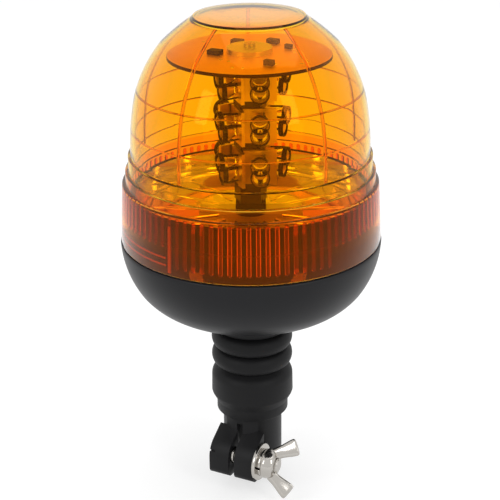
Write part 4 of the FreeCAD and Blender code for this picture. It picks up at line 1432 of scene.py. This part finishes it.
@dataclass
class TopBoard:
    """The round board on the tower: pale mask, dark cut edge and pairs of solder pads near the small parts.

    Attributes:
        radius: The board's radius.
        top: Height of its upper face.
        thickness: The board's thickness.
        pad_size: A pad's sides.
        pad_height: A pad's height, from 0.02 mm under the face.
        pad_pairs: The heading of each pair and its distance from the axis.
        pad_shift: Half the distance between the two pads of a pair.
    """

    radius: float = 38.7
    top: float = SEAM + 91.4
    thickness: float = 1.6
    pad_size: Station = (1.8, 1.2)
    pad_height: float = 0.14
    pad_pairs: tuple[Station, ...] = ((110, 18.0), (30, 21.0), (-40, 24.0), (200, 22.0), (-100, 19.0), (-75, 27.0),
                                      (160, 30.0), (-10, 31.0))
    pad_shift: float = 2.4

    def pads(self) -> bpy.types.Object:
        """Domed solder pads.

        Returns:
            The pads.
        """
        long, wide = self.pad_size
        crown = ((0, 0, self.pad_height), (long * 0.8, wide * 0.7))
        pad = drawn_out("pad", self.pad_size, (0, 0, self.top - 0.02), [crown])
        places = [spun(turn) @ moved(reach, shift, 0) for turn, reach in self.pad_pairs
                  for shift in (-self.pad_shift, self.pad_shift)]
        return settle(copied_out(pad, "top_board_pads", places), 30)

    def build(self) -> list[bpy.types.Object]:
        """Build and dress the board and its pads.

        Returns:
            The pieces.
        """
        foot = self.top - self.thickness
        run = [(0.5, foot), (self.radius - 0.1, foot), (self.radius, foot + 0.1), (self.radius, self.top - 0.1),
               (self.radius - 0.1, self.top), (0.5, self.top)]
        board = settle(turned("top_board_disc", run, 128, capped=True), 30)
        # Aluminium sheet under a thin screen-printed mask: pale and bright, with a metallic sheen under the amber.
        mask = Plating("aluminium-backed board, pale mask", "FFC590", 0.4, scratch=0.8, relief=0.02).make()
        # The routed edge of the laminate: brown and rough, a thin dark line.
        cut = Moulding("cut laminate edge", "3A2416", 0.6, grain=0.3, relief=0.3).make()
        pads = self.pads()
        dress(board, mask, cut)
        mark_faces(board, lambda face: abs(face.normal.z) < 0.9)
        # Reflowed tin solder: dull silver beads.
        dress(pads, Plating("solder", "C9C9C4", 0.25).make())
        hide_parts("top_board")
        for piece in (board, pads):
            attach(piece, "head")
        return [board, pads]


# --- the inside -------------------------------------------------------------------------------


@dataclass
class Inside:
    """The CAD nodes that keep their shape, each given the finish of its slot."""

    def finishes(self) -> dict[str, Moulding | Plating]:
        """One finish for each material slot that these nodes name.

        Returns:
            The finishes by the slot's name.
        """
        return {
            # Moulded plastics: plain black, with the tool's dull grain.
            "insulator": Moulding("black moulded insulator", "161617", 0.45),
            "bowl_plastic": Moulding("black ABS", "232325", 0.4),
            "chip_resin": Moulding("epoxy resin", "19191A", 0.5),
            "seal_rubber": Moulding("seal rubber", "141414", 0.6),
            # Pressed and sintered ferrite: dark grey and dry.
            "ferrite": Moulding("ferrite", "2A2A2B", 0.6),
            # Screen-printed mask over laminate: green, and shiny where the copper lies flat under it.
            "driver_laminate": Moulding("green solder mask", "1C5A33", 0.35),
            # Silicone with phosphor, cast over the chip: smooth deep yellow.
            "led_phosphor": Moulding("LED phosphor", "F4D23C", 0.25, grain=1.0, relief=0.02),
            # Rolled, stamped, plated or anodised metals: each with its own colour and fine rolling lines.
            "contact_brass": Plating("brass contact", "C9A24B", 0.25),
            "screw_steel": Plating("zinc plated screw", "BDBDB8", 0.25),
            "capacitor_can": Plating("sleeved aluminium can", "8F9196", 0.35),
            "bracket_aluminium": Plating("plain aluminium", "D5D5D2", 0.35),
            "core_aluminium": Plating("black anodised core", "4A423E", 0.3),
            # Aluminium sheet under a thin pale mask: it throws the amber light back.
            "led_laminate": Plating("aluminium-backed board, pale mask", "F4D0AC", 0.34, scratch=0.8, relief=0.02),
        }

    def build(self) -> list[bpy.types.Object]:
        """Dress every CAD node that is still shown. The hub's cap is turned from plain aluminium.

        Returns:
            The pieces.
        """
        made = {slot: finish.make() for slot, finish in self.finishes().items()}
        dressed = []
        for row in frame["record"]["subparts"]:
            slot = "bracket_aluminium" if row["node"] == "hub_cap" else row["material_slot"]
            piece = frame["nodes"][row["node"]]
            if slot in made and not piece.hide_render:
                dress(piece, made[slot])
                dressed.append(piece)
        return dressed


# --- the studio -------------------------------------------------------------------------------


@dataclass
class Studio:
    """Camera, lamps, floor and white surround.

    Attributes:
        azimuth: How far round from the front the camera stands, in degrees.
        elevation: How far above level it looks down from, in degrees.
        distance: How far it stands from the axis, in metres.
        lens: Its focal length.
        shift: How far the picture is shifted, as a share of its width.
        roll: How far it is rolled, in degrees.
        floor_level: Height of the floor, just under the wing nut's lower wing.
        lamps: Place and sides in metres, and power in watts, of the two tall boxes and the wide one overhead.
        aim: The point that the lamps face, in metres.
    """

    azimuth: float = 26.5
    elevation: float = 22.2
    distance: float = 0.650
    lens: float = 94.6
    shift: Station = (-0.0022, -0.032)
    roll: float = -0.5
    floor_level: float = -9.0
    lamps: tuple[tuple[str, Place, Station, float], ...] = (
        ("left_box", (-0.35, -0.9, 0.60), (0.22, 0.5), 1.6), ("right_box", (0.85, -0.35, 0.60), (0.22, 0.5), 1.6),
        ("top_box", (0.1, 0.1, 1.1), (0.9, 0.9), 4.0))
    aim: Place = (0.0, 0.0, 0.15)

    def camera(self) -> None:
        """Place the camera."""
        data = bpy.data.cameras.new("camera")
        data.lens = self.lens
        data.sensor_width = 36.0
        data.shift_x, data.shift_y = self.shift
        camera = bpy.data.objects.new("camera", data)
        bpy.context.scene.collection.objects.link(camera)
        round_axis, up = math.radians(self.azimuth), math.radians(self.elevation)
        away = Vector((math.sin(round_axis) * math.cos(up), -math.cos(round_axis) * math.cos(up), math.sin(up)))
        stand = Matrix.Translation(Vector((0, 0, SEAM * MM)) + away * self.distance)
        camera.matrix_world = stand @ (-away).to_track_quat("-Z", "Y").to_matrix().to_4x4() @ spun(self.roll)
        bpy.context.scene.camera = camera

    def lamp(self, name: str, place: Place, size: Station, power: float) -> None:
        """A rectangular lamp that faces the object.

        Args:
            name: The lamp's name.
            place: Where it hangs.
            size: Its sides.
            power: Its power.
        """
        data = bpy.data.lights.new(name, "AREA")
        data.shape = "RECTANGLE"
        data.size, data.size_y = size
        data.energy = power
        item = bpy.data.objects.new(name, data)
        bpy.context.scene.collection.objects.link(item)
        item.location = place
        item.rotation_euler = (Vector(self.aim) - Vector(place)).to_track_quat("-Z", "Y").to_euler()

    def seen(self, tree: bpy.types.NodeTree) -> bpy.types.NodeSocket:
        """A socket that is 1 for what the camera, gloss and clear plastic see, and 0 for what lights the object.

        Args:
            tree: The tree that it goes into.

        Returns:
            The socket.
        """
        path = add_node(tree, "ShaderNodeLightPath")
        found = path.outputs["Is Camera Ray"]
        for ray in ("Is Glossy Ray", "Is Transmission Ray"):
            either = add_node(tree, "ShaderNodeMath", {"0": found, "1": path.outputs[ray]}, operation="MAXIMUM")
            found = either.outputs[0]
        return found

    def surround(self) -> None:
        """A white world: full for what the eye, gloss and clear plastic see, softer for what it lights."""
        world = bpy.data.worlds.new("surround")
        bpy.context.scene.world = world
        world.use_nodes = True
        ground = world.node_tree.nodes["Background"]
        ground.inputs["Color"].default_value = (1, 1, 1, 1)
        level = add_node(world.node_tree, "ShaderNodeMapRange", {"Value": self.seen(world.node_tree)}, To_Min=0.75,
                         To_Max=1.0)
        feed(ground, {"Strength": level.outputs["Result"]})

    def floor(self) -> None:
        """A pale floor of matt paper that looks white to the eye and keeps the shadow."""
        bpy.ops.object.select_all(action="DESELECT")
        bpy.ops.mesh.primitive_plane_add(size=6.0, location=(0, 0, self.floor_level * MM))
        floor = bpy.context.object
        floor.name = "floor"
        material, tree, shader = blank("white paper sweep", Base_Color=srgb("B4B4B4"), Roughness=0.9,
                                       Specular_IOR_Level=0.1, Emission_Color=(1, 1, 1, 1))
        glow = add_node(tree, "ShaderNodeMapRange", {"Value": self.seen(tree)}, To_Min=0.0, To_Max=0.62)
        feed(shader, {"Emission Strength": glow.outputs["Result"]})
        dress(floor, material)

    def build(self) -> None:
        """Set the stage."""
        bpy.context.scene.view_settings.view_transform = "Standard"
        self.camera()
        self.surround()
        self.floor()
        for lamp in self.lamps:
            self.lamp(*lamp)


def main() -> None:
    """Build every sub-assembly and report each of its pieces."""
    logging.basicConfig(level=logging.INFO, format="%(name)s: %(message)s")
    Studio().build()
    for part in (AmberLens(), Bowl(), RubberNeck(), Leads(), ContactSpring(), PoleClamp(), Deck(), LedTower(),
                 TopBoard(), Inside()):
        for piece in part.build():
            LOG.info("%s: %s, %d faces", type(part).__name__, piece.name, len(piece.data.polygons))


if __name__ == "__main__":
    main()
